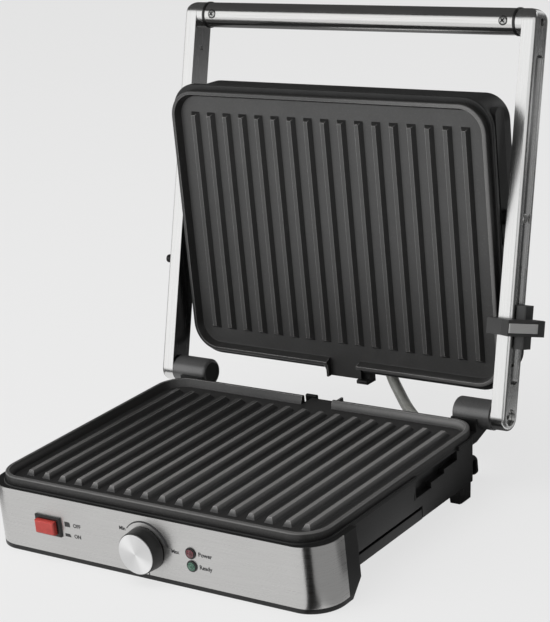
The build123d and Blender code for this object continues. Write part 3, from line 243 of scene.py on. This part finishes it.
def cross_screws(name, body, node, seats, way, head_radius, head_height):
    mesh = bpy.data.meshes.new(name + "_seats")
    mesh.from_pydata(seats, [], [])
    ways = mesh.attributes.new("facing", "FLOAT_VECTOR", "POINT")
    ways.data.foreach_set("vector", list(way) * len(seats))
    seated = put(name + "_seats", mesh)
    driven = seated.modifiers.new("screws", "NODES")
    driven.node_group = screw_tree
    driven[sockets["Head radius"].identifier] = head_radius
    driven[sockets["Head height"].identifier] = head_height
    driven[sockets["Plating"].identifier] = zinc_steel
    piece = put(name, settled(seated))
    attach(piece, body)
    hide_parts(node)


screw_radius = 0.0032
cover_screw_height = 0.0016
cover_seats = [placed(x, y, 20) for x in (-137.5, 137.5) for y in (-60, 60)]
cover_seats += [placed(x, -109.65, 3) for x in (-65, 65)]
cross_screws(
    "cover_screw_heads", "base", "cover_screws", cover_seats, (0, 0, -1),
    screw_radius, cover_screw_height,
)

# Drip tray: a thin pressed tray with a black enamel, slid in on two rails under the back of the base.
# The enamel is smoother and shinier than the housing.
tray_enamel = moulded("tray_black_enamel", 0.011, 0.017, 0.3, size=0.0012, strength=0.12)
coat(tray_enamel, "drip_tray")

# Front panel: one stainless sheet bent round the front of the base, brushed along its length.
# The brushing is long and fine, so its reflections run up and down the sheet.
panel_steel = brushed(
    "panel_brushed_steel", (0.55, 0.545, 0.537), (0.62, 0.615, 0.606), 0.3, (0.008, 0.008, 1),
    size=0.0003, strength=0.008, along=(0.7, "Z", 0.25),
)
coat(panel_steel, "front_panel")

# Push switch: a black satin bezel with a sleeve, and a red translucent button standing out of it.
# The lamps' rings and holders are moulded in the bezel's plastic.
gloss_plastic = moulded("switch_black_plastic", 0.006, 0.01, 0.3, size=0.0006, strength=0.1)
coat(gloss_plastic, "switch_bezel", "lamp_rings", "switch_body", "lamp_holders")
button_red, tree, shader = finish("button_red_plastic")
button_tone = tint(tree, grain(tree, 0.006), (0.3, (0.36, 0.032, 0.026)), (0.7, (0.44, 0.048, 0.038)))
button_grain = grain(tree, 0.0006)
wire(
    tree,
    (button_tone, shader.inputs["Base Color"]),
    (levels(tree, button_grain, 0.32, 0.42), shader.inputs["Roughness"]),
)
shader.inputs["Subsurface Weight"].default_value = 0.15
shader.inputs["Subsurface Radius"].default_value = (0.004, 0.001, 0.001)
relief(tree, shader, button_grain, 0.0001, 0.1, 0.0008)
coat(button_red, "power_button")

# Knob: a black moulded skirt, and a spun aluminium disc pressed into its face.
# The disc's turning marks are fine rings, and its fans of light are a painted reflection, coloured paler and
# darker by bearing round its axis.
knob_height = 0.025
knob_plastic = moulded("knob_black_plastic", 0.008, 0.013, 0.36, size=0.0006, strength=0.3)
coat(knob_plastic, "temperature_knob", "thermostat_body")
spun_aluminium, tree, shader = finish("spun_aluminium")
shader.inputs["Metallic"].default_value = 1.0
shader.inputs["Anisotropic"].default_value = 0.8
place = add(tree, "ShaderNodeTexCoord")
centre = add(tree, "ShaderNodeMapping", Location=(-shift.x, 0, -knob_height))
flat = add(tree, "ShaderNodeVectorMath", operation="MULTIPLY")
flat.inputs[1].default_value = (1, 0, 1)
radius = add(tree, "ShaderNodeVectorMath", operation="LENGTH")
rings = add(tree, "ShaderNodeTexNoise", noise_dimensions="1D", Scale=2600.0, Detail=4.0)
parts = add(tree, "ShaderNodeSeparateXYZ")
bearing = add(tree, "ShaderNodeMath", operation="ARCTAN2")
double = add(tree, "ShaderNodeMath", operation="MULTIPLY")
double.inputs[1].default_value = 2.0
swing = add(tree, "ShaderNodeMath", operation="SINE")
wire(
    tree,
    (place.outputs["Object"], centre.inputs["Vector"]),
    (centre.outputs["Vector"], flat.inputs[0]),
    (flat.outputs["Vector"], radius.inputs[0]),
    (radius.outputs["Value"], rings.inputs["W"]),
    (flat.outputs["Vector"], parts.inputs["Vector"]),
    (parts.outputs["Z"], bearing.inputs[0]),
    (parts.outputs["X"], bearing.inputs[1]),
    (bearing.outputs[0], double.inputs[0]),
    (double.outputs[0], swing.inputs[0]),
)
# Painted reflection: the disc's colour swings by bearing round its axis, as fans of light.
fans = levels(tree, swing.outputs[0], 0, 1, -1, 1)
painted_fan_reflection = tint(tree, fans, (0.0, (0.98, 0.98, 0.98)), (0.35, (0.8, 0.8, 0.8)), (1.0, (0.74, 0.74, 0.74)))
wire(
    tree,
    (painted_fan_reflection, shader.inputs["Base Color"]),
    (levels(tree, rings.outputs["Fac"], 0.28, 0.38), shader.inputs["Roughness"]),
    (flat.outputs["Vector"], shader.inputs["Tangent"]),
)
relief(tree, shader, rings.outputs["Fac"], 0.00003, 0.12, 0.0004)
coat(spun_aluminium, "knob_cap")

# Lamps: domed red and green lenses over pressed-in holders, each in a thin black ring.
# The lenses are unlit, and faceted inside.


def lens(name, deep, bright):
    material, tree, shader = finish(name)
    facets = add(tree, "ShaderNodeTexVoronoi", Scale=900.0)
    place = add(tree, "ShaderNodeTexCoord")
    wire(tree, (place.outputs["Object"], facets.inputs["Vector"]))
    near = facets.outputs["Distance"]
    wire(
        tree,
        (tint(tree, near, (0.1, bright), (0.7, deep)), shader.inputs["Base Color"]),
        (levels(tree, near, 0.1, 0.2), shader.inputs["Roughness"]),
    )
    shader.inputs["Transmission Weight"].default_value = 0.2
    shader.inputs["Coat Weight"].default_value = 0.5
    relief(tree, shader, near, 0.0002, 0.3, 0.0003)
    return material


coat(lens("red_lens", (0.07, 0.008, 0.014), (0.2, 0.03, 0.045)), "power_lamp")
coat(lens("green_lens", (0.02, 0.09, 0.055), (0.07, 0.2, 0.13)), "ready_lamp")

# Printed legends: dark grey pad-printed ink on the panel, a hair thicker than paint.
# Words are placed by the left end of their baseline, and shapes by their own origin, in millimetres.
panel_face = -116.5
ink_gap = 0.06
ink_thickness = 0.00004
ink_spread = 0.0001
capital_share = 0.72
ink, tree, shader = finish("legend_ink")
ink_tone = tint(tree, grain(tree, 0.0005), (0.3, (0.018, 0.018, 0.02)), (0.7, (0.035, 0.035, 0.036)))
wire(
    tree,
    (ink_tone, shader.inputs["Base Color"]),
    (levels(tree, grain(tree, 0.0004), 0.5, 0.65), shader.inputs["Roughness"]),
)


def on_panel(name, mesh, x, z):
    mesh.transform(Matrix.Translation(placed(x, panel_face - ink_gap, z)) @ Matrix.Rotation(pi / 2, 4, "X"))
    mesh.materials.clear()
    mesh.materials.append(ink)
    piece = put(name, mesh)
    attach(piece, "base")


def word(name, text, height, x, z):
    curve = bpy.data.curves.new(name, "FONT")
    curve.body = text
    curve.size = height / capital_share
    curve.extrude = ink_thickness
    curve.offset = ink_spread
    on_panel(name, settled(put(name, curve)), x, z)


def print_shape(name, outline, x, z):
    count = len(outline)
    corners = [(px / 1000, pz / 1000, rise) for rise in (0, ink_thickness) for px, pz in outline]
    pairs = [(k, (k + 1) % count) for k in range(count)]
    faces = [(here, after, after + count, here + count) for here, after in pairs]
    faces += [tuple(range(count))[::-1], tuple(range(count, 2 * count))]
    mesh = bpy.data.meshes.new(name)
    mesh.from_pydata(corners, [], faces)
    on_panel(name, mesh, x, z)


word("legend_off", "OFF", 0.0030, -68.3, 29.1)
word("legend_on", "ON", 0.0030, -68.4, 20.6)
word("legend_min", "Min", 0.0029, -22.8, 36.1)
word("legend_max", "Max", 0.0029, 24.3, 26.2)
word("legend_power", "Power", 0.0033, 48.7, 27.7)
word("legend_ready", "Ready", 0.0033, 48.5, 17.7)
print_shape("legend_out", [(-2.6, -1.8), (2.6, -1.8), (2.6, 1.3), (1.6, 2.1), (-2.6, 2.1)], -74.0, 30.4)
print_shape("legend_in", [(-2.9, -1.2), (2.9, -1.2), (1.9, 1.2), (-2.9, 1.2)], -74.3, 21.8)
arc_steps = 48
arc_start, arc_step = 140.0, 2.66
arc_inner, arc_outer, arc_swell = 20.0, 20.6, 2.0
arc_turns = [radians(arc_start - step * arc_step) for step in range(arc_steps + 1)]
arc = [(arc_inner * cos(turn), arc_inner * sin(turn)) for turn in arc_turns]
for step in range(arc_steps, -1, -1):
    reach = arc_outer + arc_swell * step / arc_steps
    arc.append((reach * cos(arc_turns[step]), reach * sin(arc_turns[step])))
print_shape("legend_arc", arc, 0, 25)
print_shape("legend_tick", [(-0.4, -1.6), (0.4, -1.6), (0.4, 0.8), (-0.4, 0.8)], 0.6, 5.4)

# Heaters and fittings inside: a sheathed element and a pressed shield under each plate.
# The shields, their screws and the thermostat's shaft are zinc-plated, and the terminal block is ceramic.
sheath_steel = brushed(
    "sheath_dull_steel", (0.3, 0.29, 0.28), (0.42, 0.41, 0.4), 0.45, (1, 1, 1), size=0.0008,
)
for side in ("lower_", "upper_"):
    coat(sheath_steel, side + "heating_element", side + "element_clips")
    coat(zinc_steel, side + "heat_shield", side + "shield_screws")
coat(sheath_steel, "thermal_fuse")
coat(zinc_steel, "thermostat_shaft")
coat(moulded("terminal_ceramic", 0.5, 0.62, 0.6), "terminal_block")

# Cooking plates: die-cast aluminium with a dark sprayed non-stick coat, speckled with fine mica.
# The coat is painted paler on the ribs' up-facing tops and on the rims: partly real wear, partly painted
# sheen.
# A painted reflection falloff fades this from the front right to the back left, and thin painted highlights
# run along the crests of the ribs and rims. The coat is duller on steep faces and below the plate's floor.


def times(tree, first, second):
    product = add(tree, "ShaderNodeMath", operation="MULTIPLY")
    wire(tree, (first, product.inputs[0]), (second, product.inputs[1]))
    return product.outputs[0]


def dot(tree, source, way):
    product = add(tree, "ShaderNodeVectorMath", operation="DOT_PRODUCT")
    product.inputs[1].default_value = way
    wire(tree, (source, product.inputs[0]))
    return product.outputs["Value"]


def mixed(tree, share, first, second):
    mix = add(tree, "ShaderNodeMixRGB")
    wire(tree, (share, mix.inputs["Fac"]), (first, mix.inputs["Color1"]))
    if isinstance(second, tuple):
        mix.inputs["Color2"].default_value = (*second, 1)
    else:
        wire(tree, (second, mix.inputs["Color2"]))
    return mix.outputs["Color"]


def nonstick(name, level, up, rib_wear_and_sheen, rim_wear_and_sheen):
    rib_sides = (level + 0.0012, level + 0.0038)
    rib_tops = (level + 0.002, level + 0.003)
    rim_top = (level + 0.0046, level + 0.006)
    below_floor = (level - 0.0012, level - 0.0003)
    # Bare coat colour: shows through in worn flecks, and is also the painted highlight along the crests.
    bare_and_glint = (0.3, 0.296, 0.292)
    material, tree, shader = finish(name)
    specks = grain(tree, 0.0009, detail=5.0, roughness=0.7)
    place = add(tree, "ShaderNodeTexCoord")
    rise = dot(tree, place.outputs["Object"], up)
    tilt = dot(tree, place.outputs["Normal"], up)
    reach = dot(tree, place.outputs["Object"], (1, -1, 0))
    # Painted sheen: up-facing rib tops and rims paler, partly real wear, fading to the back left as a
    # painted reflection falloff.
    wear_and_sheen = times(tree, levels(tree, rise, 0, rib_wear_and_sheen, *rib_sides), levels(tree, rise, 1, rim_wear_and_sheen, *rim_top))
    wear_and_sheen = times(tree, wear_and_sheen, levels(tree, reach, 0.05, 1, -0.11, 0.05))
    wear_and_sheen = times(tree, wear_and_sheen, levels(tree, tilt, 0, 1, -0.1, 0.6))
    sprayed = tint(
        tree, specks,
        (0.35, (0.012, 0.0118, 0.0116)), (0.6, (0.021, 0.0206, 0.0203)), (0.72, (0.08, 0.078, 0.077)),
    )
    wear_and_sheen_tone = tint(
        tree, specks,
        (0.35, (0.15, 0.147, 0.145)), (0.62, (0.19, 0.187, 0.184)), (0.74, bare_and_glint),
    )
    # Painted highlight: thin pale lines along the crests of the ribs and rims, found from the bevelled
    # normal.
    rounded = add(tree, "ShaderNodeBevel", samples=4, Radius=0.0006)
    plain = add(tree, "ShaderNodeNewGeometry")
    likeness = add(tree, "ShaderNodeVectorMath", operation="DOT_PRODUCT")
    wire(
        tree,
        (rounded.outputs["Normal"], likeness.inputs[0]),
        (plain.outputs["Normal"], likeness.inputs[1]),
    )
    edge_glint = levels(tree, likeness.outputs["Value"], 1, 0, 0.92, 0.99)
    edge_glint = times(tree, edge_glint, levels(tree, rise, 0, 1, *rib_tops))
    tone = mixed(tree, edge_glint, mixed(tree, wear_and_sheen, sprayed, wear_and_sheen_tone), bare_and_glint)
    shine = levels(tree, rise, 0.12, 0.5, *below_floor)
    shine = times(tree, shine, levels(tree, tilt, 0.25, 1, 0.1, 0.7))
    wire(
        tree,
        (tone, shader.inputs["Base Color"]),
        (levels(tree, grain(tree, 0.02), 0.34, 0.42), shader.inputs["Roughness"]),
        (shine, shader.inputs["Specular IOR Level"]),
    )
    shader.inputs["IOR"].default_value = 1.85
    relief(tree, shader, specks, 0.0003, 0.2, 0.0004)
    return material


head_tilt = radians(1.08)
plate_front = Vector((0, -cos(head_tilt), sin(head_tilt)))
pivot_y, pivot_z = 171.396, 201.979
lower_level = 0.0515
plate_ahead = 0.017
upper_level = plate_front.dot(placed(0, pivot_y, pivot_z)) + plate_ahead
# The last two numbers scale the painted sheen on the ribs' tops and on the rims.
coat(nonstick("lower_plate_nonstick", lower_level, (0, 0, 1), 1.0, 0.5), "lower_plate")
coat(nonstick("upper_plate_nonstick", upper_level, plate_front, 0.06, 9.0), "upper_plate")

# Plate latches: black moulded slides that hold each plate's back edge, one in the base and one in the head.
# They are the housing's plastic.
coat(housing_plastic, "lower_latch", "upper_latch")

# Hinge: two dark grey barrels on the base with black end caps.
# Each has a zinc-plated pin and screw.
barrel_plastic = moulded("barrel_grey_plastic", 0.045, 0.06, 0.3, size=0.0006, strength=0.12)
barrel_plastic.node_tree.nodes["Principled BSDF"].inputs["IOR"].default_value = 1.9
coat(barrel_plastic, "hinge_barrel_right", "hinge_barrel_left")
coat(gloss_plastic, "hinge_end_caps")
coat(zinc_steel, "hinge_pins", "hinge_screws")

# Arms: cast aluminium, linished along their length, with the floor of the channel down the outer face
# coloured darker.
# The pivot pins are zinc-plated. On the left arm an oblong black buffer stands in for the round stop stud.


def sideways(tree, source):
    parts = add(tree, "ShaderNodeSeparateXYZ")
    size = add(tree, "ShaderNodeMath", operation="ABSOLUTE")
    wire(tree, (source, parts.inputs["Vector"]), (parts.outputs["X"], size.inputs[0]))
    return size.outputs[0]


lean = radians(16.9)
channel_floor, outer_face = 0.1646, 0.1654
arm_metal = brushed(
    "arm_satin_aluminium", (0.7, 0.7, 0.695), (0.79, 0.79, 0.785), 0.22, (1, 1, 0.01),
    turn=(-lean, 0, 0), size=0.0004, strength=0.06,
)
tree = arm_metal.node_tree
shader = tree.nodes["Principled BSDF"]
polished = shader.inputs["Base Color"].links[0].from_socket
place = add(tree, "ShaderNodeTexCoord")
middle = add(tree, "ShaderNodeMapping", Location=(-shift.x, 0, 0))
wire(tree, (place.outputs["Object"], middle.inputs["Vector"]))
# The floor of the channel on the outer face is coloured darker.
sunk = levels(tree, sideways(tree, middle.outputs["Vector"]), 1, 0, channel_floor, outer_face)
outward = levels(tree, sideways(tree, place.outputs["Normal"]), 0, 1, 0.7, 0.9)
arm_tone = mixed(tree, times(tree, sunk, outward), polished, (0.3, 0.3, 0.3))
wire(tree, (arm_tone, shader.inputs["Base Color"]))
coat(arm_metal, "arm_right", "arm_left")
coat(zinc_steel, "pivot_pins")
buffer_middle = Vector((0, 0.10593, 0.145527))
buffer_sides = 40
buffer_flat = 5.2
buffer_profile = ((0.1725, 3.4), (0.1779, 3.4), (0.1784, 3.15), (0.1787, 2.7))
buffer_mesh = bpy.data.meshes.new("stop_buffer")
shape = bmesh.new()
loops = []
for out, half in buffer_profile:
    loop = []
    for step in range(buffer_sides):
        turn = 2 * pi * (step + 0.5) / buffer_sides
        depth = half * cos(turn) - (buffer_flat if cos(turn) < 0 else 0)
        up_arm = half * sin(turn)
        across = depth * cos(lean) + up_arm * sin(lean)
        above = up_arm * cos(lean) - depth * sin(lean)
        corner = buffer_middle + Vector((0, across, above)) / 1000 + Vector((-out, 0, 0))
        loop.append(shape.verts.new(corner))
    loops.append(loop)
for low, high in zip(loops, loops[1:]):
    for step in range(buffer_sides):
        shape.faces.new((low[step], low[step - 1], high[step - 1], high[step])).smooth = True
shape.faces.new(loops[0])
shape.faces.new(loops[-1])
bmesh.ops.recalc_face_normals(shape, faces=shape.faces)
shape.to_mesh(buffer_mesh)
buffer_mesh.materials.append(gloss_plastic)
stop_buffer = put("stop_buffer", buffer_mesh)
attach(stop_buffer, "lid")
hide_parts("stop_stud")

# Handle: a steel tube drawn and polished along its length, between two black collars.
# A small cross-head screw at each end holds it on the arms' spigots.
handle_steel = brushed(
    "handle_polished_steel", (0.66, 0.655, 0.645), (0.76, 0.755, 0.745), 0.16, (0.01, 1, 1),
    size=0.0005, strength=0.04,
)
coat(handle_steel, "handle_bar")
coat(gloss_plastic, "handle_collars")
hinge_y, hinge_z = 127.5, 57.5
arm_length = 298
tube_radius = 10.3
tube_y = hinge_y - tube_radius * cos(lean) + arm_length * sin(lean)
tube_z = hinge_z + tube_radius * sin(lean) + arm_length * cos(lean)
handle_seats = [placed(x, tube_y, tube_z) for x in (-137.9, 137.9)]
tube_front = (0, -cos(lean), sin(lean))
handle_screw_height = 0.0012
cross_screws(
    "handle_screw_heads", "lid", "handle_screws", handle_seats, tube_front,
    screw_radius, handle_screw_height,
)

# Head: a black moulded shell hung on the pivot pins, with a brushed sheet let into its back.
# Its plastic is grained like the housing's, but shinier.
head_plastic = moulded("head_black_plastic", 0.009, 0.014, 0.42)
coat(head_plastic, "head_housing")
cover_steel = brushed(
    "cover_brushed_steel", (0.57, 0.565, 0.555), (0.66, 0.655, 0.645), 0.3, (0.01, 1, 1), strength=0.06,
)
coat(cover_steel, "head_cover")

# Height slider: a dark moulded block in the arm's slot, with a bright insert let into its slanted face.
# The insert is pale, evenly brushed steel.
slider_plastic = moulded("slider_grey_plastic", 0.028, 0.038, 0.42)
coat(slider_plastic, "slider_block")
insert_steel = brushed(
    "insert_brushed_steel", (0.84, 0.84, 0.83), (0.92, 0.92, 0.91), 0.45, (0.02, 0.02, 1),
)
coat(insert_steel, "slider_trim")

# Lead between base and head: a grey sleeved cable.
# It is one run, cut into two stretches, and it bends at the hinge and again at the head's pivot.
lead_radius = 4.5
lead_sides = 28
lower_run = 0.0565
base_end = Vector((88, 107, 33))
head_down = Vector((0, -sin(head_tilt), -cos(head_tilt)))
head_back = Vector((0, cos(head_tilt), -sin(head_tilt)))
grommet_x, grommet_down, grommet_back = 32, 135.15, -1.6
head_end = Vector((grommet_x, pivot_y, pivot_z)) + head_down * grommet_down + head_back * grommet_back
hang = head_end + head_down * 8.3 + Vector((3.2, -1.2, 0))
route = [base_end]
route += [base_end + Vector(step) for step in ((0, 15, 0), (-9, 30, 1), (-24, 43, 2))]
route += [hang + Vector(step) for step in ((16.8, -8.4, -18.6), (7.8, -3.9, -8.6))]
route += [hang, head_end]
lead_curve = bpy.data.curves.new("lead_line", "CURVE")
lead_curve.dimensions = "3D"
lead_curve.resolution_u = 16
spline = lead_curve.splines.new("NURBS")
spline.points.add(len(route) - 1)
for point, knot in zip(spline.points, route):
    point.co = (*placed(*knot), 1)
spline.order_u = 3
spline.use_endpoint_u = True
line = [vertex.co.copy() for vertex in settled(put("lead_line", lead_curve)).vertices]
sleeve, tree, shader = finish("lead_grey_sleeve")
sleeve_tone = tint(tree, grain(tree, 0.004), (0.3, (0.24, 0.24, 0.225)), (0.7, (0.3, 0.3, 0.28)))
sleeve_grain = grain(tree, 0.0007)
wire(
    tree,
    (sleeve_tone, shader.inputs["Base Color"]),
    (levels(tree, sleeve_grain, 0.2, 0.3), shader.inputs["Roughness"]),
)
relief(tree, shader, sleeve_grain, 0.0001, 0.08)


def lead_tube(name, points):
    mesh = bpy.data.meshes.new(name)
    shape = bmesh.new()
    angles = [2 * pi * k / lead_sides for k in range(lead_sides)]
    loops = []
    across = Vector((0, 0, 1))
    for i, point in enumerate(points):
        ahead = (points[min(i + 1, len(points) - 1)] - points[max(i - 1, 0)]).normalized()
        across = (across - ahead * across.dot(ahead)).normalized()
        over = ahead.cross(across)
        spokes = [across * cos(a) + over * sin(a) for a in angles]
        loops.append([shape.verts.new(point + spoke * lead_radius / 1000) for spoke in spokes])
    for low, high in zip(loops, loops[1:]):
        for k in range(lead_sides):
            after = (k + 1) % lead_sides
            shape.faces.new((low[k], low[after], high[after], high[k])).smooth = True
    shape.faces.new(loops[0][::-1])
    shape.faces.new(loops[-1])
    bmesh.ops.recalc_face_normals(shape, faces=shape.faces)
    shape.to_mesh(mesh)
    mesh.materials.append(sleeve)
    piece = put(name, mesh)
    return piece


spans = [(b - a).length for a, b in zip(line, line[1:])]
run, meet = 0.0, 0
while run < lower_run:
    run += spans[meet]
    meet += 1
lower_lead = lead_tube("lead_lower", line[:meet + 1])
upper_lead = lead_tube("lead_upper", line[meet:])
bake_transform(lower_lead)
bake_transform(upper_lead)
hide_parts("link_lead")
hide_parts("link_lead")

# Floor: one pale sweep, bright to the camera and in the metal, with the press's own soft shadow on it.
# Rays that light the press see it as plain paper instead.
floor_half = 9
floor_mesh = bpy.data.meshes.new("floor")
floor_corners = [(x * floor_half, y * floor_half, 0) for x, y in ((-1, -1), (1, -1), (1, 1), (-1, 1))]
floor_mesh.from_pydata(floor_corners, [], [(0, 1, 2, 3)])
floor = put("floor", floor_mesh)
pale = (0.83, 0.83, 0.83, 1)
glow_share = 0.86


def seen_plainly(tree):
    light_path = add(tree, "ShaderNodeLightPath")
    metal = add(tree, "ShaderNodeMath", operation="MAXIMUM")
    glass = add(tree, "ShaderNodeMath", operation="MAXIMUM")
    wire(
        tree,
        (light_path.outputs["Is Camera Ray"], metal.inputs[0]),
        (light_path.outputs["Is Glossy Ray"], metal.inputs[1]),
        (metal.outputs[0], glass.inputs[0]),
        (light_path.outputs["Is Transmission Ray"], glass.inputs[1]),
    )
    return glass.outputs[0]


floor_paper, tree, shader = finish("floor_paper")
tree.nodes.remove(shader)
paper = add(tree, "ShaderNodeBsdfDiffuse", Color=pale)
glow = add(tree, "ShaderNodeEmission", Color=pale)
share = add(tree, "ShaderNodeMath", operation="MULTIPLY")
share.inputs[1].default_value = glow_share
both = add(tree, "ShaderNodeMixShader")
wire(
    tree,
    (seen_plainly(tree), share.inputs[0]),
    (share.outputs[0], both.inputs["Fac"]),
    (paper.outputs[0], both.inputs[1]),
    (glow.outputs[0], both.inputs[2]),
    (both.outputs[0], tree.nodes["Material Output"].inputs["Surface"]),
)
floor_mesh.materials.append(floor_paper)

# Studio: a pale backdrop, two soft boxes, and cards round the press that only its shiny faces see.
# Flags are dark and cards are paler. Each lies flat at a height, or stands on a line between two heights.
flag_lift = 0.0008
card_lift = 0.0009


def card(name, corners, tone):
    mesh = bpy.data.meshes.new(name)
    mesh.from_pydata(corners, [], [(0, 1, 2, 3)])
    surface, tree, shader = finish(name)
    tree.nodes.remove(shader)
    flat_tone = add(tree, "ShaderNodeEmission", Color=(tone, tone, tone, 1))
    wire(tree, (flat_tone.outputs[0], tree.nodes["Material Output"].inputs["Surface"]))
    mesh.materials.append(surface)
    piece = put(name, mesh)
    for ray in ("camera", "diffuse", "transmission", "volume_scatter", "shadow"):
        setattr(piece, "visible_" + ray, False)


def lying(name, tone, corners, height=flag_lift):
    card(name, [(x, y, height) for x, y in corners], tone)


def standing(name, tone, start, end, low, high):
    card(name, [(*start, low), (*end, low), (*end, high), (*start, high)], tone)


lying("ceiling_flag", 0.06, [(-3, -0.9), (3, -0.9), (3, 3), (-3, 3)], 1.5)
standing("back_flag", 0.06, (-3, 1.3), (-0.1, 1.3), 0, 1.5)
standing("right_flag", 0.09, (1.5, -0.2), (1.5, 1.3), 0, 1.5)
lying("back_floor_flag", 0.16, [(-1.6, 0.17), (-0.12, 0.17), (-0.12, 0.9), (-1.6, 1.3)])
lying("right_floor_flag", 0.09, [(0.15, -0.13), (1.5, -0.3), (1.5, 1.3), (0.42, 1.0)])
standing("back_right_flag", 0.06, (0.42, 1.3), (2, 1.3), 0, 0.7)
lying("tray_floor_flag", 0.06, [(-0.12, 0.17), (0.15, 0), (0.3, 0.5), (-0.12, 0.4)])
lying("left_floor_flag", 0.06, [(-0.9, -0.6), (-0.25, -0.2), (-0.25, 0.17), (-0.9, 0.17)])
standing("back_right_card", 1.5, (0.42, 1.25), (1.3, 1.25), 0.7, 1.4)
standing("corner_flag", 0.0, (0.134, -0.19), (0.157, -0.19), 0, 0.3)
standing("corner_grey_card", 0.36, (0.157, -0.19), (0.215, -0.1), 0, 0.3)
lying("corner_floor_flag", 0.0, [(0.128, -0.165), (0.15, -0.165), (0.157, -0.19), (0.134, -0.19)])
lying("corner_floor_card", 0.36, [(0.15, -0.165), (0.15, -0.1), (0.215, -0.1), (0.157, -0.19)], card_lift)
standing("side_grey_card", 0.25, (0.215, -0.1), (0.215, 0), 0, 0.1)
standing("front_left_card", 1.1, (-1.9, -1.0), (-0.7, -1.9), 0.02, 1.6)

world = bpy.data.worlds.new("studio")
bpy.context.scene.world = world
world.use_nodes = True
tree = world.node_tree
backdrop = tree.nodes["Background"]
backdrop.inputs["Color"].default_value = pale
room = add(tree, "ShaderNodeBackground", Strength=1.0)
place = add(tree, "ShaderNodeTexCoord")
light_side = Vector((-0.62, -0.72, 0.32)).normalized()
towards = levels(tree, dot(tree, place.outputs["Generated"], light_side), 0, 1, -1, 1)
fill = tint(tree, towards, (0.2, (0.2, 0.2, 0.2)), (0.6, (0.26, 0.26, 0.26)), (0.9, (0.75, 0.75, 0.74)))
pick = add(tree, "ShaderNodeMixShader")
wire(
    tree,
    (fill, room.inputs["Color"]),
    (seen_plainly(tree), pick.inputs["Fac"]),
    (room.outputs[0], pick.inputs[1]),
    (backdrop.outputs[0], pick.inputs[2]),
    (pick.outputs[0], tree.nodes["World Output"].inputs["Surface"]),
)


def soft_box(name, spot, aim, width, height, power):
    lamp = bpy.data.lights.new(name, "AREA")
    lamp.shape = "RECTANGLE"
    lamp.size = width
    lamp.size_y = height
    lamp.energy = power
    holder = put(name, lamp)
    turn = (Vector(aim) - Vector(spot)).to_track_quat("-Z", "Y").to_matrix().to_4x4()
    holder.matrix_world = Matrix.Translation(spot) @ turn
    holder.visible_glossy = False


soft_box("front_left_box", (-1.5, -1.9, 0.9), (0, 0, 0.15), 1.6, 1.4, 30)
soft_box("overhead_box", (-0.3, -0.4, 2.0), (0, 0, 0), 1.6, 1.6, 21)

# Camera: where the photograph was taken from, fitted to both plates' ribs.
# The photograph is tilted a little, so the camera is rolled.
azimuth, elevation, roll = radians(37.45), radians(18.11), radians(-6.21)
back = Vector((sin(azimuth) * cos(elevation), -cos(azimuth) * cos(elevation), sin(elevation)))
right = Vector((cos(azimuth), sin(azimuth), 0))
up = back.cross(right)
across = right * cos(roll) + up * sin(roll)
upward = up * cos(roll) - right * sin(roll)
view = Matrix((across, upward, back)).transposed().to_4x4()
camera_data = bpy.data.cameras.new("camera")
camera_data.sensor_fit = "VERTICAL"
camera_data.sensor_height = 36.0
camera_data.lens = 117.93
camera_spot = placed(904.96, -1115.32, 632.18)
camera = put("camera", camera_data)
camera.matrix_world = Matrix.Translation(camera_spot) @ view
bpy.context.scene.camera = camera
bpy.context.scene.view_settings.view_transform = "Standard"
